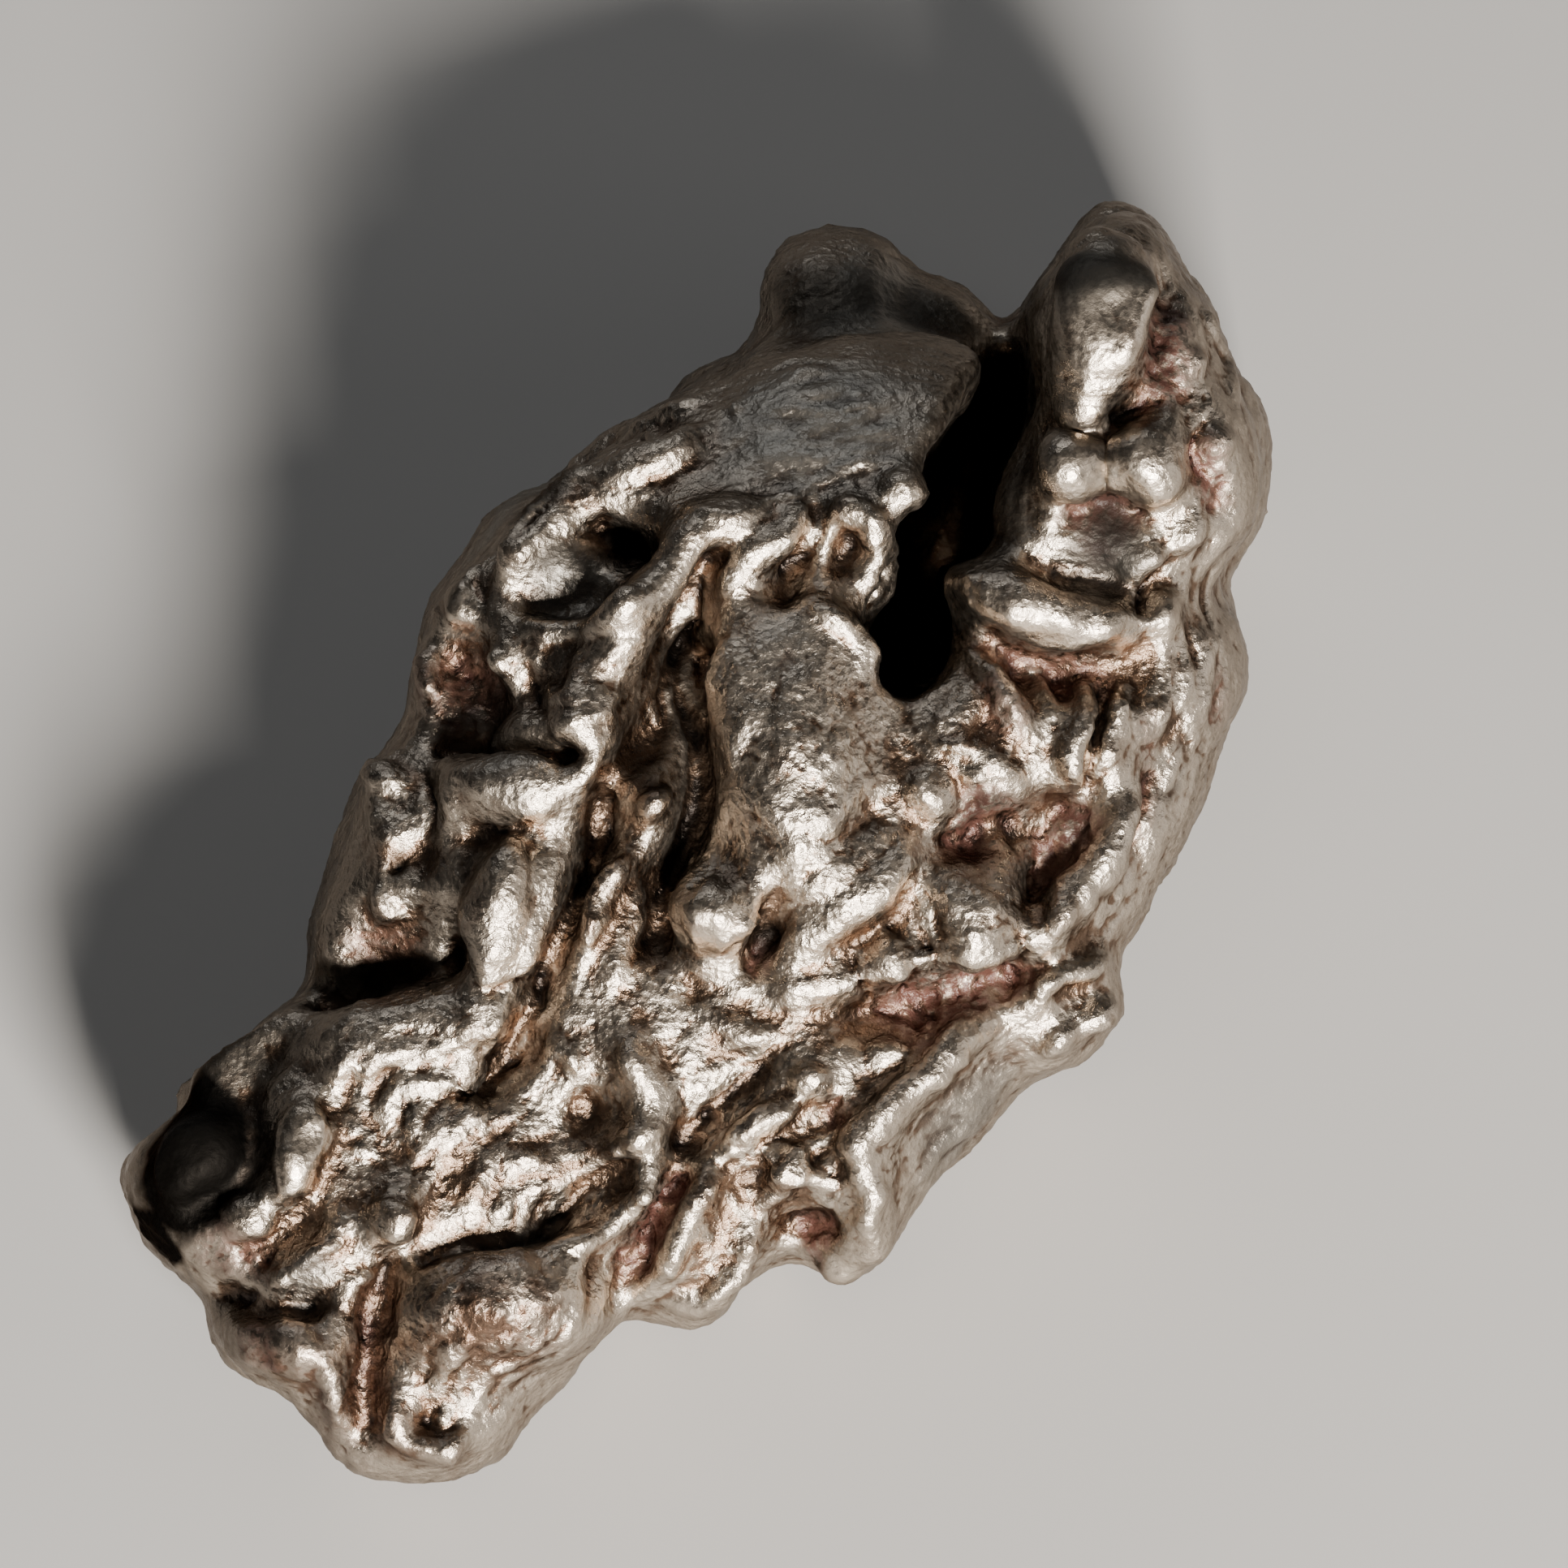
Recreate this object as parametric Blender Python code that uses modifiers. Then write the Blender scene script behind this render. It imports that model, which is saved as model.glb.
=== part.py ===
# An iron meteorite lying on its back: one solid lump of metal, sculpted by its fall.
#
# The lump is modelled in millimetres in the frame of its face: u runs to the right across the face,
# v up along it, and w out of it. At the end it is turned and scaled into metres, +Z up.

import math
import random
from collections import namedtuple

import bpy
import numpy as np
from mathutils import Matrix, Vector, noise
from mathutils.bvhtree import BVHTree

NODE = "meteorite"
COLLECTION = "iron_meteorite"
CUTTERS = "cutters"

# Sizes of the whole
MM = 0.001
FACE_SLOPE = math.radians(25.0)
EYE_DISTANCE = 450.0
REST_CUT = 0.7

# Fineness of the surface
FORM_VOXEL = 0.5
DETAIL_VOXEL = 0.42
MOST_TRIANGLES = 9400
STEP_ALONG = 0.5

# Unevenness of the metal: size of a swell or a ripple, and its height
SWELL = (6.0, 0.35)
RIPPLE = (2.2, 0.12)

# Thumbprint hollows on the hidden sides
SEED = 11
HOLLOW_TRIES = 900
HOLLOW_APART = 3.4
HOLLOW_WIDTH = (3.6, 6.4)
HOLLOW_DEPTH = (0.5, 1.1)
HOLLOW_LENGTH = 2.6
HIDDEN_BELOW = 0.05

# Slope of a form towards its foot: full for a ridge or lump, soft for a groove or pit
FULL = 1.4
SOFT = 2.0

# What fusing and softening take off an edge
SKIN = 0.35

# A mass of the lump: its edge seen square on to the face, its centre, the depth of its edge at the
# centre, how much that depth changes for each mm of v, how far it swells forward, how much that
# grows for each mm of v, how far it swells back, and how full it is: lower is flatter in front.
Mass = namedtuple("Mass", "edge centre depth lean front grow back fullness")

BODY = Mass(
    edge=[
        (-2.5, 15.4), (-0.8, 16.4), (1.0, 17.0), (3.5, 17.3), (7.2, 16.5), (9.0, 14.5), (12.0, 12.0),
        (15.4, 8.0), (17.2, 6.5), (17.8, 4.8), (17.4, 2.8), (16.4, 1.2), (15.9, -1.0), (15.3, -2.3),
        (14.2, -3.5), (13.9, -4.7), (13.1, -5.8), (12.2, -6.8), (13.4, -8.0), (12.8, -9.2),
        (11.6, -10.5), (10.5, -11.2), (8.8, -10.9), (8.3, -12.2), (7.5, -13.3), (6.0, -14.8),
        (5.0, -16.3), (4.2, -17.8), (2.2, -19.5), (1.2, -18.2), (0.0, -17.8), (-1.1, -18.4),
        (-1.9, -20.2), (-3.0, -21.2), (-4.2, -21.0), (-5.0, -20.4), (-6.1, -20.4), (-8.5, -20.0),
        (-12.0, -17.5), (-15.5, -13.0), (-17.0, -9.0), (-18.1, -7.0), (-18.0, -5.5), (-17.6, -4.0),
        (-17.0, -2.0), (-16.3, 0.0), (-15.5, 1.2), (-14.5, 1.8), (-14.2, 3.0), (-14.1, 4.5),
        (-13.7, 5.8), (-13.3, 7.0), (-12.0, 8.8), (-11.5, 9.8), (-10.5, 10.8), (-9.0, 11.0),
        (-7.5, 12.6), (-6.3, 13.4), (-4.5, 14.2),
    ],
    centre=(0.0, -1.0), depth=0.5, lean=-0.2, front=10.5, grow=0.14, back=9.1, fullness=0.52,
)
LOWER_LOBE = Mass(
    edge=[
        (-12.0, -7.6), (-18.2, -8.2), (-19.3, -9.0), (-21.0, -10.1), (-22.5, -11.0), (-22.9, -12.2),
        (-24.0, -13.3), (-24.9, -14.2), (-25.3, -15.0), (-24.9, -16.5), (-24.0, -17.9), (-23.0, -18.8),
        (-21.4, -19.3), (-21.9, -20.5), (-21.6, -21.6), (-20.5, -22.8), (-19.3, -23.2), (-18.2, -24.2),
        (-17.2, -25.9), (-16.0, -26.6), (-14.2, -26.9), (-12.3, -26.5), (-11.0, -25.9), (-10.4, -25.0),
        (-10.0, -23.8), (-8.4, -22.5), (-7.0, -21.3), (-5.0, -18.0), (-5.0, -13.0), (-8.0, -9.0),
    ],
    centre=(-13.5, -16.0), depth=4.5, lean=-0.25, front=7.2, grow=0.15, back=8.3, fullness=0.55,
)
HORN = Mass(
    edge=[
        (12.3, 22.2), (14.0, 21.8), (15.0, 20.5), (15.2, 19.5), (16.0, 18.7), (16.6, 17.5),
        (16.7, 16.3), (17.5, 15.3), (18.2, 13.8), (18.4, 12.5), (18.2, 10.5), (17.6, 9.2), (16.0, 7.8),
        (15.6, 6.0), (14.5, 4.6), (12.0, 4.8), (9.5, 6.0), (6.8, 6.9), (7.6, 8.3), (7.8, 10.5),
        (8.3, 12.0), (9.2, 13.5), (9.0, 15.0), (9.1, 17.0), (9.3, 18.3), (10.0, 19.5), (10.8, 20.7),
        (11.4, 21.7),
    ],
    centre=(13.0, 12.5), depth=-3.0, lean=-0.3, front=13.2, grow=0.45, back=15.0, fullness=0.55,
)
PLATEAU = Mass(
    edge=[
        (-4.0, 14.9), (-2.5, 15.3), (-0.8, 16.3), (1.0, 16.8), (3.5, 17.2), (5.0, 17.0), (7.2, 16.4),
        (8.0, 15.4), (6.9, 14.2), (6.2, 13.0), (5.3, 12.5), (3.0, 12.0), (1.0, 10.9), (-1.0, 10.5),
        (-2.5, 10.2), (-4.6, 10.6), (-5.4, 12.6),
    ],
    centre=(1.0, 13.6), depth=5.0, lean=-0.95, front=2.2, grow=0.0, back=7.0, fullness=0.55,
)
BACK_DOME = Mass(
    edge=[
        (-0.8, 17.2), (-0.9, 18.5), (-0.8, 19.4), (0.0, 20.4), (1.0, 21.0), (2.4, 21.1), (4.0, 20.5),
        (4.6, 19.2), (5.0, 18.0), (4.0, 15.5), (2.0, 14.5), (0.0, 15.0),
    ],
    centre=(1.9, 18.0), depth=-7.0, lean=-0.3, front=5.5, grow=0.0, back=7.5, fullness=0.85,
)
BACK_KNOB = Mass(
    edge=[
        (4.8, 19.0), (6.1, 19.4), (7.2, 18.6), (7.5, 17.4), (7.4, 16.4), (8.2, 15.0), (7.0, 14.5),
        (4.5, 15.5), (3.8, 18.0),
    ],
    centre=(6.2, 17.2), depth=-7.0, lean=-0.3, front=4.5, grow=0.0, back=8.0, fullness=0.85,
)
BACK_SHOULDER = Mass(
    edge=[
        (-9.0, 11.2), (-8.3, 11.7), (-7.5, 12.6), (-6.3, 13.4), (-4.5, 14.2), (-4.0, 14.8),
        (-3.1, 15.8), (-2.2, 16.2), (-0.9, 16.4), (1.0, 16.6), (3.0, 15.0), (0.0, 10.0), (-6.0, 8.0),
    ],
    centre=(-2.5, 13.0), depth=-5.0, lean=-0.4, front=5.0, grow=0.0, back=9.5, fullness=0.85,
)
HEEL = Mass(
    edge=[(-4.0, 14.0), (3.0, 13.0), (6.0, 7.0), (2.0, 0.0), (-6.0, -1.0), (-12.0, 4.0), (-10.0, 10.5)],
    centre=(-3.5, 6.5), depth=-6.0, lean=-0.45, front=6.0, grow=0.0, back=9.2, fullness=0.85,
)
BEHIND_CLEFT = Mass(
    edge=[(1.0, 15.6), (5.0, 17.4), (8.3, 15.7), (10.6, 16.8), (14.0, 16.0), (15.0, 9.0), (9.0, 3.0), (2.0, 6.0)],
    centre=(8.0, 12.0), depth=-10.5, lean=-0.3, front=3.6, grow=0.0, back=5.5, fullness=0.7,
)
MASSES = [BODY, LOWER_LOBE, HORN, PLATEAU, BACK_DOME, BACK_KNOB, BACK_SHOULDER, HEEL, BEHIND_CLEFT]

# The deep cleft between the horn and the body
CLEFT = Mass(
    edge=[
        (9.0, 18.6), (9.2, 16.0), (9.3, 13.5), (8.3, 12.0), (7.8, 10.5), (7.6, 8.6), (6.8, 6.7),
        (6.2, 5.0), (5.7, 3.7), (5.0, 3.4), (4.0, 4.0), (3.4, 5.0), (3.7, 6.0), (4.0, 8.0),
        (4.1, 9.5), (5.5, 10.4), (5.4, 12.0), (6.2, 13.0), (6.9, 14.2), (7.7, 15.6), (8.3, 17.0),
    ],
    centre=(6.3, 9.0), depth=6.0, lean=-0.2, front=30.0, grow=0.0, back=13.0, fullness=0.45,
)

# Forms on the face. Each has the places that its middle passes, its width and its height: a ridge or
# a lump has a height above zero, a groove or a pit one below it.
BROAD_FORMS = {
    "central lump": ([(0.0, 3.6), (0.6, 0.6), (1.2, -2.2)], 8.6, 2.2),
    "nose": ([(-3.4, -4.9), (-1.8, -5.3)], 3.8, 1.9),
    "long rib": ([(-1.7, 10.0), (-3.3, 9.4), (-4.7, 7.8), (-5.7, 6.2), (-7.3, 3.8), (-7.2, 2.2), (-6.8, 0.5)],
                 3.2, 1.7),
    "first shoulder ridge": ([(-4.0, 13.0), (-5.5, 12.4), (-7.5, 11.1), (-9.5, 9.7), (-10.4, 8.4)], 2.6, 1.4),
    "shoulder pit": ([(-7.2, 9.7), (-6.1, 9.4), (-5.2, 8.7)], 3.0, -2.3),
    "shelf hollow": ([(-9.6, 7.0), (-7.6, 7.4)], 3.4, -1.6),
    "left hollow": ([(-12.5, 4.3), (-12.1, 3.0)], 4.8, -2.4),
    "shelf lump": ([(-12.2, -0.2), (-8.8, -0.2)], 4.2, 1.5),
    "left bright ridge": ([(-10.6, -3.2), (-11.1, -5.0), (-11.2, -6.6)], 3.4, 1.6),
    "low left hollow": ([(-16.5, -6.0), (-14.3, -5.6)], 3.8, -1.8),
    "left slot": ([(-18.2, -8.0), (-16.0, -7.5), (-13.2, -7.2), (-12.4, -6.6)], 2.2, -2.4),
    "rusty hollow": ([(10.7, -1.0), (10.6, -2.6), (9.9, -4.0)], 3.2, -2.0),
    "right pale lump": ([(6.5, -4.5), (8.4, -4.6)], 3.4, 1.2),
    "rusty band": ([(2.8, -8.9), (6.0, -8.4), (9.4, -7.1)], 3.0, -1.6),
    "faceted ridge": ([(7.0, -9.4), (5.8, -10.6), (4.6, -11.9), (3.1, -13.6), (3.0, -15.4), (3.2, -17.6)],
                      2.4, 1.3),
    "broad low lump": ([(-12.4, -20.2), (-9.4, -19.9)], 6.4, 1.9),
    "low left knob": ([(-20.2, -21.4), (-18.3, -21.8)], 3.2, 1.0),
    "far knob": ([(-22.9, -14.3)], 5.0, 0.9),
    "lobe brow": ([(-17.0, -10.2), (-14.0, -9.2), (-11.4, -9.2)], 3.4, 1.1),
    "horn finger": ([(12.2, 20.4), (12.0, 18.0), (11.7, 15.6)], 4.8, 1.0),
    "horn lump left": ([(11.0, 12.1)], 3.2, 1.0),
    "horn lump right": ([(13.9, 12.3)], 3.2, 1.0),
    "horn lip": ([(7.3, 7.3), (8.8, 7.2), (10.4, 6.6), (12.4, 6.1), (13.6, 6.2)], 3.0, 1.9),
    "under lip": ([(6.6, 5.4), (8.6, 4.8), (11.0, 4.1), (13.0, 3.9)], 3.0, -2.0),
}
FINE_FORMS = {
    "horn right ridge": ([(13.9, 19.3), (13.4, 17.6), (13.0, 16.0)], 1.7, 0.5),
    "horn flank channel": ([(15.0, 19.3), (14.6, 18.0), (14.6, 16.4), (14.2, 15.2), (13.2, 14.3)], 2.0, -0.9),
    "horn outer channel": ([(15.5, 15.2), (16.1, 14.0), (15.9, 12.7), (16.5, 11.4), (17.0, 10.4)], 1.7, -0.8),
    "horn cross crease": ([(10.2, 13.5), (12.4, 13.6), (14.0, 14.1)], 1.4, -0.6),
    "horn middle crease": ([(12.5, 13.3), (12.4, 12.0)], 1.2, -0.5),
    "horn pits": ([(11.2, 10.6), (12.4, 11.0), (13.4, 10.6)], 1.8, -0.7),
    "horn lower ledge": ([(10.0, 9.6), (11.5, 9.2), (13.6, 8.8)], 1.8, 0.4),
    "above the lip": ([(10.2, 8.0), (12.6, 7.9)], 2.2, -0.6),
    "horn low crease": ([(13.7, 10.2), (15.2, 10.8)], 1.3, -0.5),
    "horn flank groove": ([(14.6, 8.4), (13.9, 6.8), (13.7, 5.0)], 1.3, -0.9),
    "horn flank lump": ([(15.1, 7.2), (15.0, 5.8)], 1.8, 0.6),
    "flank pits": ([(16.8, 4.8), (16.7, 2.4)], 1.3, -0.5),
    "ledge lump": ([(4.6, 11.4)], 2.4, 0.9),
    "ring rim": ([(1.4, 9.4), (2.3, 10.7), (3.5, 10.2), (3.7, 8.6), (3.5, 7.2)], 1.5, 1.0),
    "ring hollow": ([(2.3, 9.1)], 2.0, -1.3),
    "strip ridge": ([(1.2, 6.8), (2.5, 6.0), (3.3, 4.9)], 1.4, 0.8),
    "short rib": ([(0.6, 10.3), (-0.5, 9.3), (-1.5, 8.4), (-2.3, 7.5)], 1.9, 1.0),
    "notch": ([(1.2, 10.4), (0.8, 9.0), (0.1, 8.2), (0.0, 7.2)], 1.3, -1.3),
    "rib groove": ([(-2.5, 8.5), (-3.7, 6.5), (-4.3, 4.5), (-4.9, 2.5), (-5.6, 1.0), (-6.4, 0.0)], 2.2, -1.5),
    "shoulder gap": ([(-4.6, 13.9), (-6.6, 12.8), (-8.6, 11.1), (-10.2, 9.9)], 1.5, -0.9),
    "shelf rim": ([(-10.2, 6.1), (-8.7, 5.7), (-7.0, 6.1), (-5.7, 7.1)], 1.3, 0.6),
    "left knob": ([(-12.0, 7.8), (-12.9, 6.6)], 2.2, 0.7),
    "left hollow rim": ([(-13.7, 5.2), (-13.6, 3.4)], 1.3, 0.6),
    "left hollow lump": ([(-10.9, 4.8)], 1.7, 0.7),
    "left hollow shade": ([(-9.8, 4.2), (-9.8, 2.8)], 1.5, -1.0),
    "shelf slot": ([(-13.4, 1.7), (-10.6, 1.6), (-8.4, 1.4)], 1.5, -1.5),
    "shelf ledge": ([(-12.2, -2.1), (-9.8, -1.8)], 1.2, -0.7),
    "second left ridge": ([(-8.9, -3.2), (-9.0, -4.8), (-9.7, -6.8)], 1.8, 0.8),
    "left edge lump": ([(-15.4, 0.4), (-15.4, -1.9)], 2.2, 0.8),
    "left edge pit": ([(-14.7, -3.0)], 1.5, -0.8),
    "left edge crease": ([(-13.9, 0.7), (-13.7, -1.5), (-13.9, -3.2)], 1.3, -1.0),
    "low left crease": ([(-12.8, -4.6), (-12.6, -7.0)], 1.3, -0.9),
    "long groove": ([(-6.4, 0.4), (-6.9, -1.0), (-7.3, -2.5), (-8.0, -4.3), (-8.7, -6.0), (-9.3, -7.4),
                     (-9.6, -8.6), (-10.1, -10.3), (-11.5, -11.5), (-12.6, -11.9)], 1.7, -1.6),
    "narrow rib": ([(-6.0, -3.0), (-7.0, -4.6), (-7.8, -6.4)], 1.4, 0.7),
    "nub": ([(-5.2, -0.9)], 1.8, 0.7),
    "central lump groove": ([(-3.6, 5.2), (-3.8, 3.0), (-3.7, 1.0), (-3.5, -0.6), (-3.7, -2.0), (-4.8, -3.4),
                             (-5.3, -4.6), (-5.2, -6.0)], 2.0, -1.9),
    "central lump crease": ([(0.5, 5.2), (-0.3, 4.0), (-0.6, 2.5), (-0.6, 1.6)], 1.3, -0.5),
    "central hollow": ([(3.5, -1.2), (2.5, -2.4), (1.5, -3.5)], 2.2, -0.7),
    "central low ridge": ([(4.5, -2.8), (3.0, -4.5), (1.2, -5.8), (0.2, -6.4)], 2.0, 1.0),
    "nose shade": ([(-0.2, -4.2), (-0.5, -5.8), (-1.2, -7.0)], 1.4, -1.6),
    "nose foot": ([(-4.6, -6.6), (-3.2, -7.8)], 1.6, -0.8),
    "right lump": ([(5.5, -0.2)], 2.4, 0.8),
    "right facet": ([(6.2, 1.6), (8.4, 0.6), (8.0, -0.6)], 2.2, 0.7),
    "fan ridge": ([(7.2, 4.8), (8.3, 3.5), (9.3, 2.2)], 1.5, 0.8),
    "rust pits": ([(6.4, -2.3), (8.0, -2.1), (9.3, -1.6)], 1.7, -1.0),
    "rust nub": ([(10.4, -2.0)], 1.3, 0.9),
    "twin ridge inner": ([(11.7, 4.2), (11.4, 2.5), (10.9, 1.0), (11.0, 0.0)], 1.3, 0.8),
    "twin ridge groove": ([(12.2, 3.6), (12.1, 1.6), (11.7, 0.0)], 1.1, -0.8),
    "twin ridge outer": ([(12.8, 4.0), (12.8, 2.0), (12.4, 0.4)], 1.3, 0.8),
    "right pale ridge": ([(13.0, -1.0), (12.3, -3.0), (11.0, -4.6), (10.1, -5.4)], 2.0, 1.0),
    "right flank groove": ([(15.0, 2.2), (14.4, 0.7), (14.2, -0.4), (13.9, -1.6), (13.6, -2.8)], 1.4, -0.7),
    "rim ridge": ([(0.3, -8.0), (2.0, -7.6), (3.2, -7.0), (5.0, -6.4), (9.0, -5.9), (10.3, -5.6)], 1.9, 1.0),
    "flange ridge": ([(12.3, -6.8), (10.6, -7.2), (9.7, -8.4)], 1.3, 0.6),
    "flange hollow": ([(11.0, -8.0)], 1.8, -0.8),
    "flange knob": ([(10.7, -9.9), (12.2, -8.9)], 1.8, 0.5),
    "lower star left": ([(-1.0, -16.3), (0.4, -14.8), (0.2, -13.9), (-0.8, -14.3)], 1.2, 0.8),
    "lower star right": ([(0.4, -14.8), (1.6, -15.6)], 1.2, 0.8),
    "lower pit": ([(0.3, -17.2), (1.4, -17.1)], 1.8, -1.7),
    "lower small lump": ([(0.9, -11.5)], 1.9, 0.7),
    "lower hollow": ([(2.0, -13.0), (1.4, -12.6)], 1.6, -0.7),
    "diagonal groove": ([(-1.0, -11.0), (-2.0, -12.0), (-3.5, -13.3), (-4.2, -14.0)], 1.4, -1.0),
    "diagonal ridge": ([(0.0, -12.4), (-1.2, -13.3), (-2.4, -14.2)], 1.4, 0.8),
    "low ridge left": ([(-3.0, -15.2), (-3.4, -16.6), (-4.4, -18.4), (-5.4, -19.3)], 1.5, 0.8),
    "low ridge right": ([(-1.4, -17.2), (-1.7, -18.6), (-2.8, -20.0)], 1.4, 0.7),
    "pit band": ([(-4.0, -15.4), (-5.0, -16.6), (-5.7, -18.3), (-6.4, -19.6)], 1.5, -1.1),
    "pale upright ridge": ([(-6.0, -10.2), (-5.4, -12.0), (-5.1, -13.6), (-5.3, -15.8)], 1.6, 0.9),
    "pale branch": ([(-5.4, -13.3), (-7.3, -14.0)], 1.3, 0.7),
    "brown hollow upper": ([(-7.6, -12.6)], 2.6, -1.0),
    "brown hollow lower": ([(-7.5, -15.6), (-9.4, -16.4)], 2.0, -1.0),
    "lobe back ridge": ([(-23.0, -12.0), (-20.8, -10.3), (-18.4, -8.8)], 1.5, 0.7),
    "lobe back gap": ([(-21.4, -12.0), (-19.6, -10.4)], 1.7, -1.0),
    "far knob groove": ([(-20.7, -12.2), (-20.5, -14.0), (-21.2, -15.6), (-22.8, -16.4)], 1.8, -1.2),
    "lobe bright ridge": ([(-18.6, -12.4), (-19.0, -14.0), (-19.3, -15.6)], 1.7, 0.9),
    "lobe slope": ([(-20.4, -18.1), (-18.5, -16.8)], 2.6, -0.8),
    "plate edge": ([(-19.6, -19.4), (-18.2, -18.2), (-17.0, -16.9)], 1.2, 0.6),
    "lobe slot": ([(-21.9, -19.8), (-19.8, -20.1), (-17.7, -20.0)], 1.4, -1.3),
    "knob ridge": ([(-17.9, -21.9), (-17.3, -23.2), (-17.0, -24.4)], 1.5, 0.6),
    "red groove": ([(-15.3, -18.2), (-15.9, -21.5), (-16.2, -25.0)], 1.8, -1.2),
    "oval lump": ([(-14.6, -15.8), (-15.5, -17.3)], 2.2, 1.1),
    "bottom ring": ([(-14.9, -23.7), (-14.7, -25.2), (-13.4, -25.8), (-12.3, -25.0)], 1.3, 0.8),
    "bottom pit": ([(-13.6, -24.3)], 1.5, -0.9),
    "low lump crease": ([(-14.0, -18.0), (-12.0, -17.3), (-10.0, -17.2), (-8.2, -16.7)], 1.6, -1.3),
    "low lump shoulder": ([(-8.0, -17.8), (-6.2, -16.9), (-5.2, -15.9)], 1.6, 0.7),
    "low lump side": ([(-7.2, -18.4), (-7.2, -20.2)], 1.4, -0.8),
}


def clear_scene():
    for ob in list(bpy.data.objects):
        bpy.data.objects.remove(ob, do_unlink=True)


def collection(name):
    group = bpy.data.collections.new(name)
    bpy.context.scene.collection.children.link(group)
    return group


def place_in(group, ob):
    for other in list(ob.users_collection):
        other.objects.unlink(ob)
    group.objects.link(ob)


def points_of(mesh):
    co = np.empty(len(mesh.vertices) * 3)
    mesh.vertices.foreach_get("co", co)
    return co.reshape(-1, 3)


def normals_of(mesh):
    normals = np.empty(len(mesh.vertices) * 3, np.float32)
    mesh.vertex_normals.foreach_get("vector", normals)
    return normals.reshape(-1, 3).astype(float)


def set_points(mesh, points):
    mesh.vertices.foreach_set("co", points.ravel())
    mesh.update()


def swollen(mass, name, group):
    """A ball whose waist is pulled out to the mass's edge, and which swells forward and back from it."""
    bpy.ops.mesh.primitive_uv_sphere_add(segments=160, ring_count=80, radius=1.0)
    ob = bpy.context.object
    ob.name = name
    place_in(group, ob)
    x, y, z = points_of(ob.data).T
    edge = np.array(mass.edge) - mass.centre
    reach = SKIN + np.interp(
        np.arctan2(y, x), np.arctan2(edge[:, 1], edge[:, 0]), np.hypot(*edge.T), period=2 * math.pi
    )
    stretch = reach * np.maximum(np.hypot(x, y), 1e-6) ** (mass.fullness - 1.0)
    u = x * stretch
    v = y * stretch
    swell = np.where(z > 0, mass.front + mass.grow * v, -mass.back)
    w = mass.depth + mass.lean * v + swell * np.abs(z) ** mass.fullness
    set_points(ob.data, np.column_stack([mass.centre[0] + u, mass.centre[1] + v, w]))
    return ob


def apply_modifiers(ob):
    """Bakes the object's modifiers into its mesh."""
    graph = bpy.context.evaluated_depsgraph_get()
    made = bpy.data.meshes.new_from_object(ob.evaluated_get(graph))
    old = ob.data
    ob.modifiers.clear()
    ob.data = made
    bpy.data.meshes.remove(old)


def join(obs):
    with bpy.context.temp_override(active_object=obs[0], selected_editable_objects=obs):
        bpy.ops.object.join()
    return obs[0]


def fuse(ob, voxel, smoothing):
    """Makes one skin of all that overlaps, and softens it."""
    remesh = ob.modifiers.new("fuse", "REMESH")
    remesh.mode = "VOXEL"
    remesh.voxel_size = voxel
    if smoothing:
        soften = ob.modifiers.new("soften", "SMOOTH")
        soften.factor = 0.5
        soften.iterations = smoothing
    apply_modifiers(ob)


def cut(ob, cutter):
    cutter.hide_render = True
    cutter.display_type = "WIRE"
    boolean = ob.modifiers.new("cut", "BOOLEAN")
    boolean.operation = "DIFFERENCE"
    boolean.object = cutter
    apply_modifiers(ob)


def surface_of(ob):
    return BVHTree.FromPolygons(
        [v.co for v in ob.data.vertices], [p.vertices for p in ob.data.polygons]
    )


def on_surface(tree, place):
    """The point of the surface that shows at a place of the face."""
    start = Vector((place[0], place[1], 60.0))
    hit = tree.ray_cast(start, Vector((0.0, 0.0, -1.0)))[0]
    if hit is None:
        hit = tree.find_nearest(Vector((place[0], place[1], 0.0)))[0]
    return np.array(hit)


def path_on_surface(tree, places):
    path = [on_surface(tree, places[0])]
    for start, end in zip(places, places[1:]):
        steps = max(1, round(math.dist(start, end) / STEP_ALONG))
        for i in range(1, steps + 1):
            path.append(on_surface(tree, np.array(start) + (np.array(end) - start) * (i / steps)))
    return np.array(path)


def distance_from(points, path):
    """Distance of each point from the path."""
    if len(path) == 1:
        return np.linalg.norm(points - path[0], axis=1)
    nearest = np.full(len(points), np.inf)
    for start, end in zip(path, path[1:]):
        along = end - start
        share = np.clip((points - start) @ along / max(along @ along, 1e-9), 0.0, 1.0)
        gap = np.linalg.norm(points - start - share[:, None] * along, axis=1)
        nearest = np.minimum(nearest, gap)
    return nearest


def raised(points, path, width, height):
    """How far each point rises: all of the height on the path, nothing past half the width from it."""
    rise = np.zeros(len(points))
    half = width / 2
    near = np.all((points > path.min(0) - half) & (points < path.max(0) + half), axis=1)
    share = np.clip(distance_from(points[near], path) / half, 0.0, 1.0)
    rise[near] = height * (1.0 - share**2) ** (FULL if height > 0 else SOFT)
    return rise


def sculpt(ob, forms):
    """Raises and sinks the forms, each along the surface's own normals."""
    tree = surface_of(ob)
    points = points_of(ob.data)
    rise = np.zeros(len(points))
    for places, width, height in forms.values():
        rise += raised(points, path_on_surface(tree, places), width, height)
    set_points(ob.data, points + normals_of(ob.data) * rise[:, None])


def roughen(ob):
    """Swells and ripples of cast metal, all over."""
    points = points_of(ob.data)
    rise = np.zeros(len(points))
    for size, height in (SWELL, RIPPLE):
        rise += [height * noise.noise(Vector(p) / size) for p in points]
    set_points(ob.data, points + normals_of(ob.data) * rise[:, None])


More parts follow.
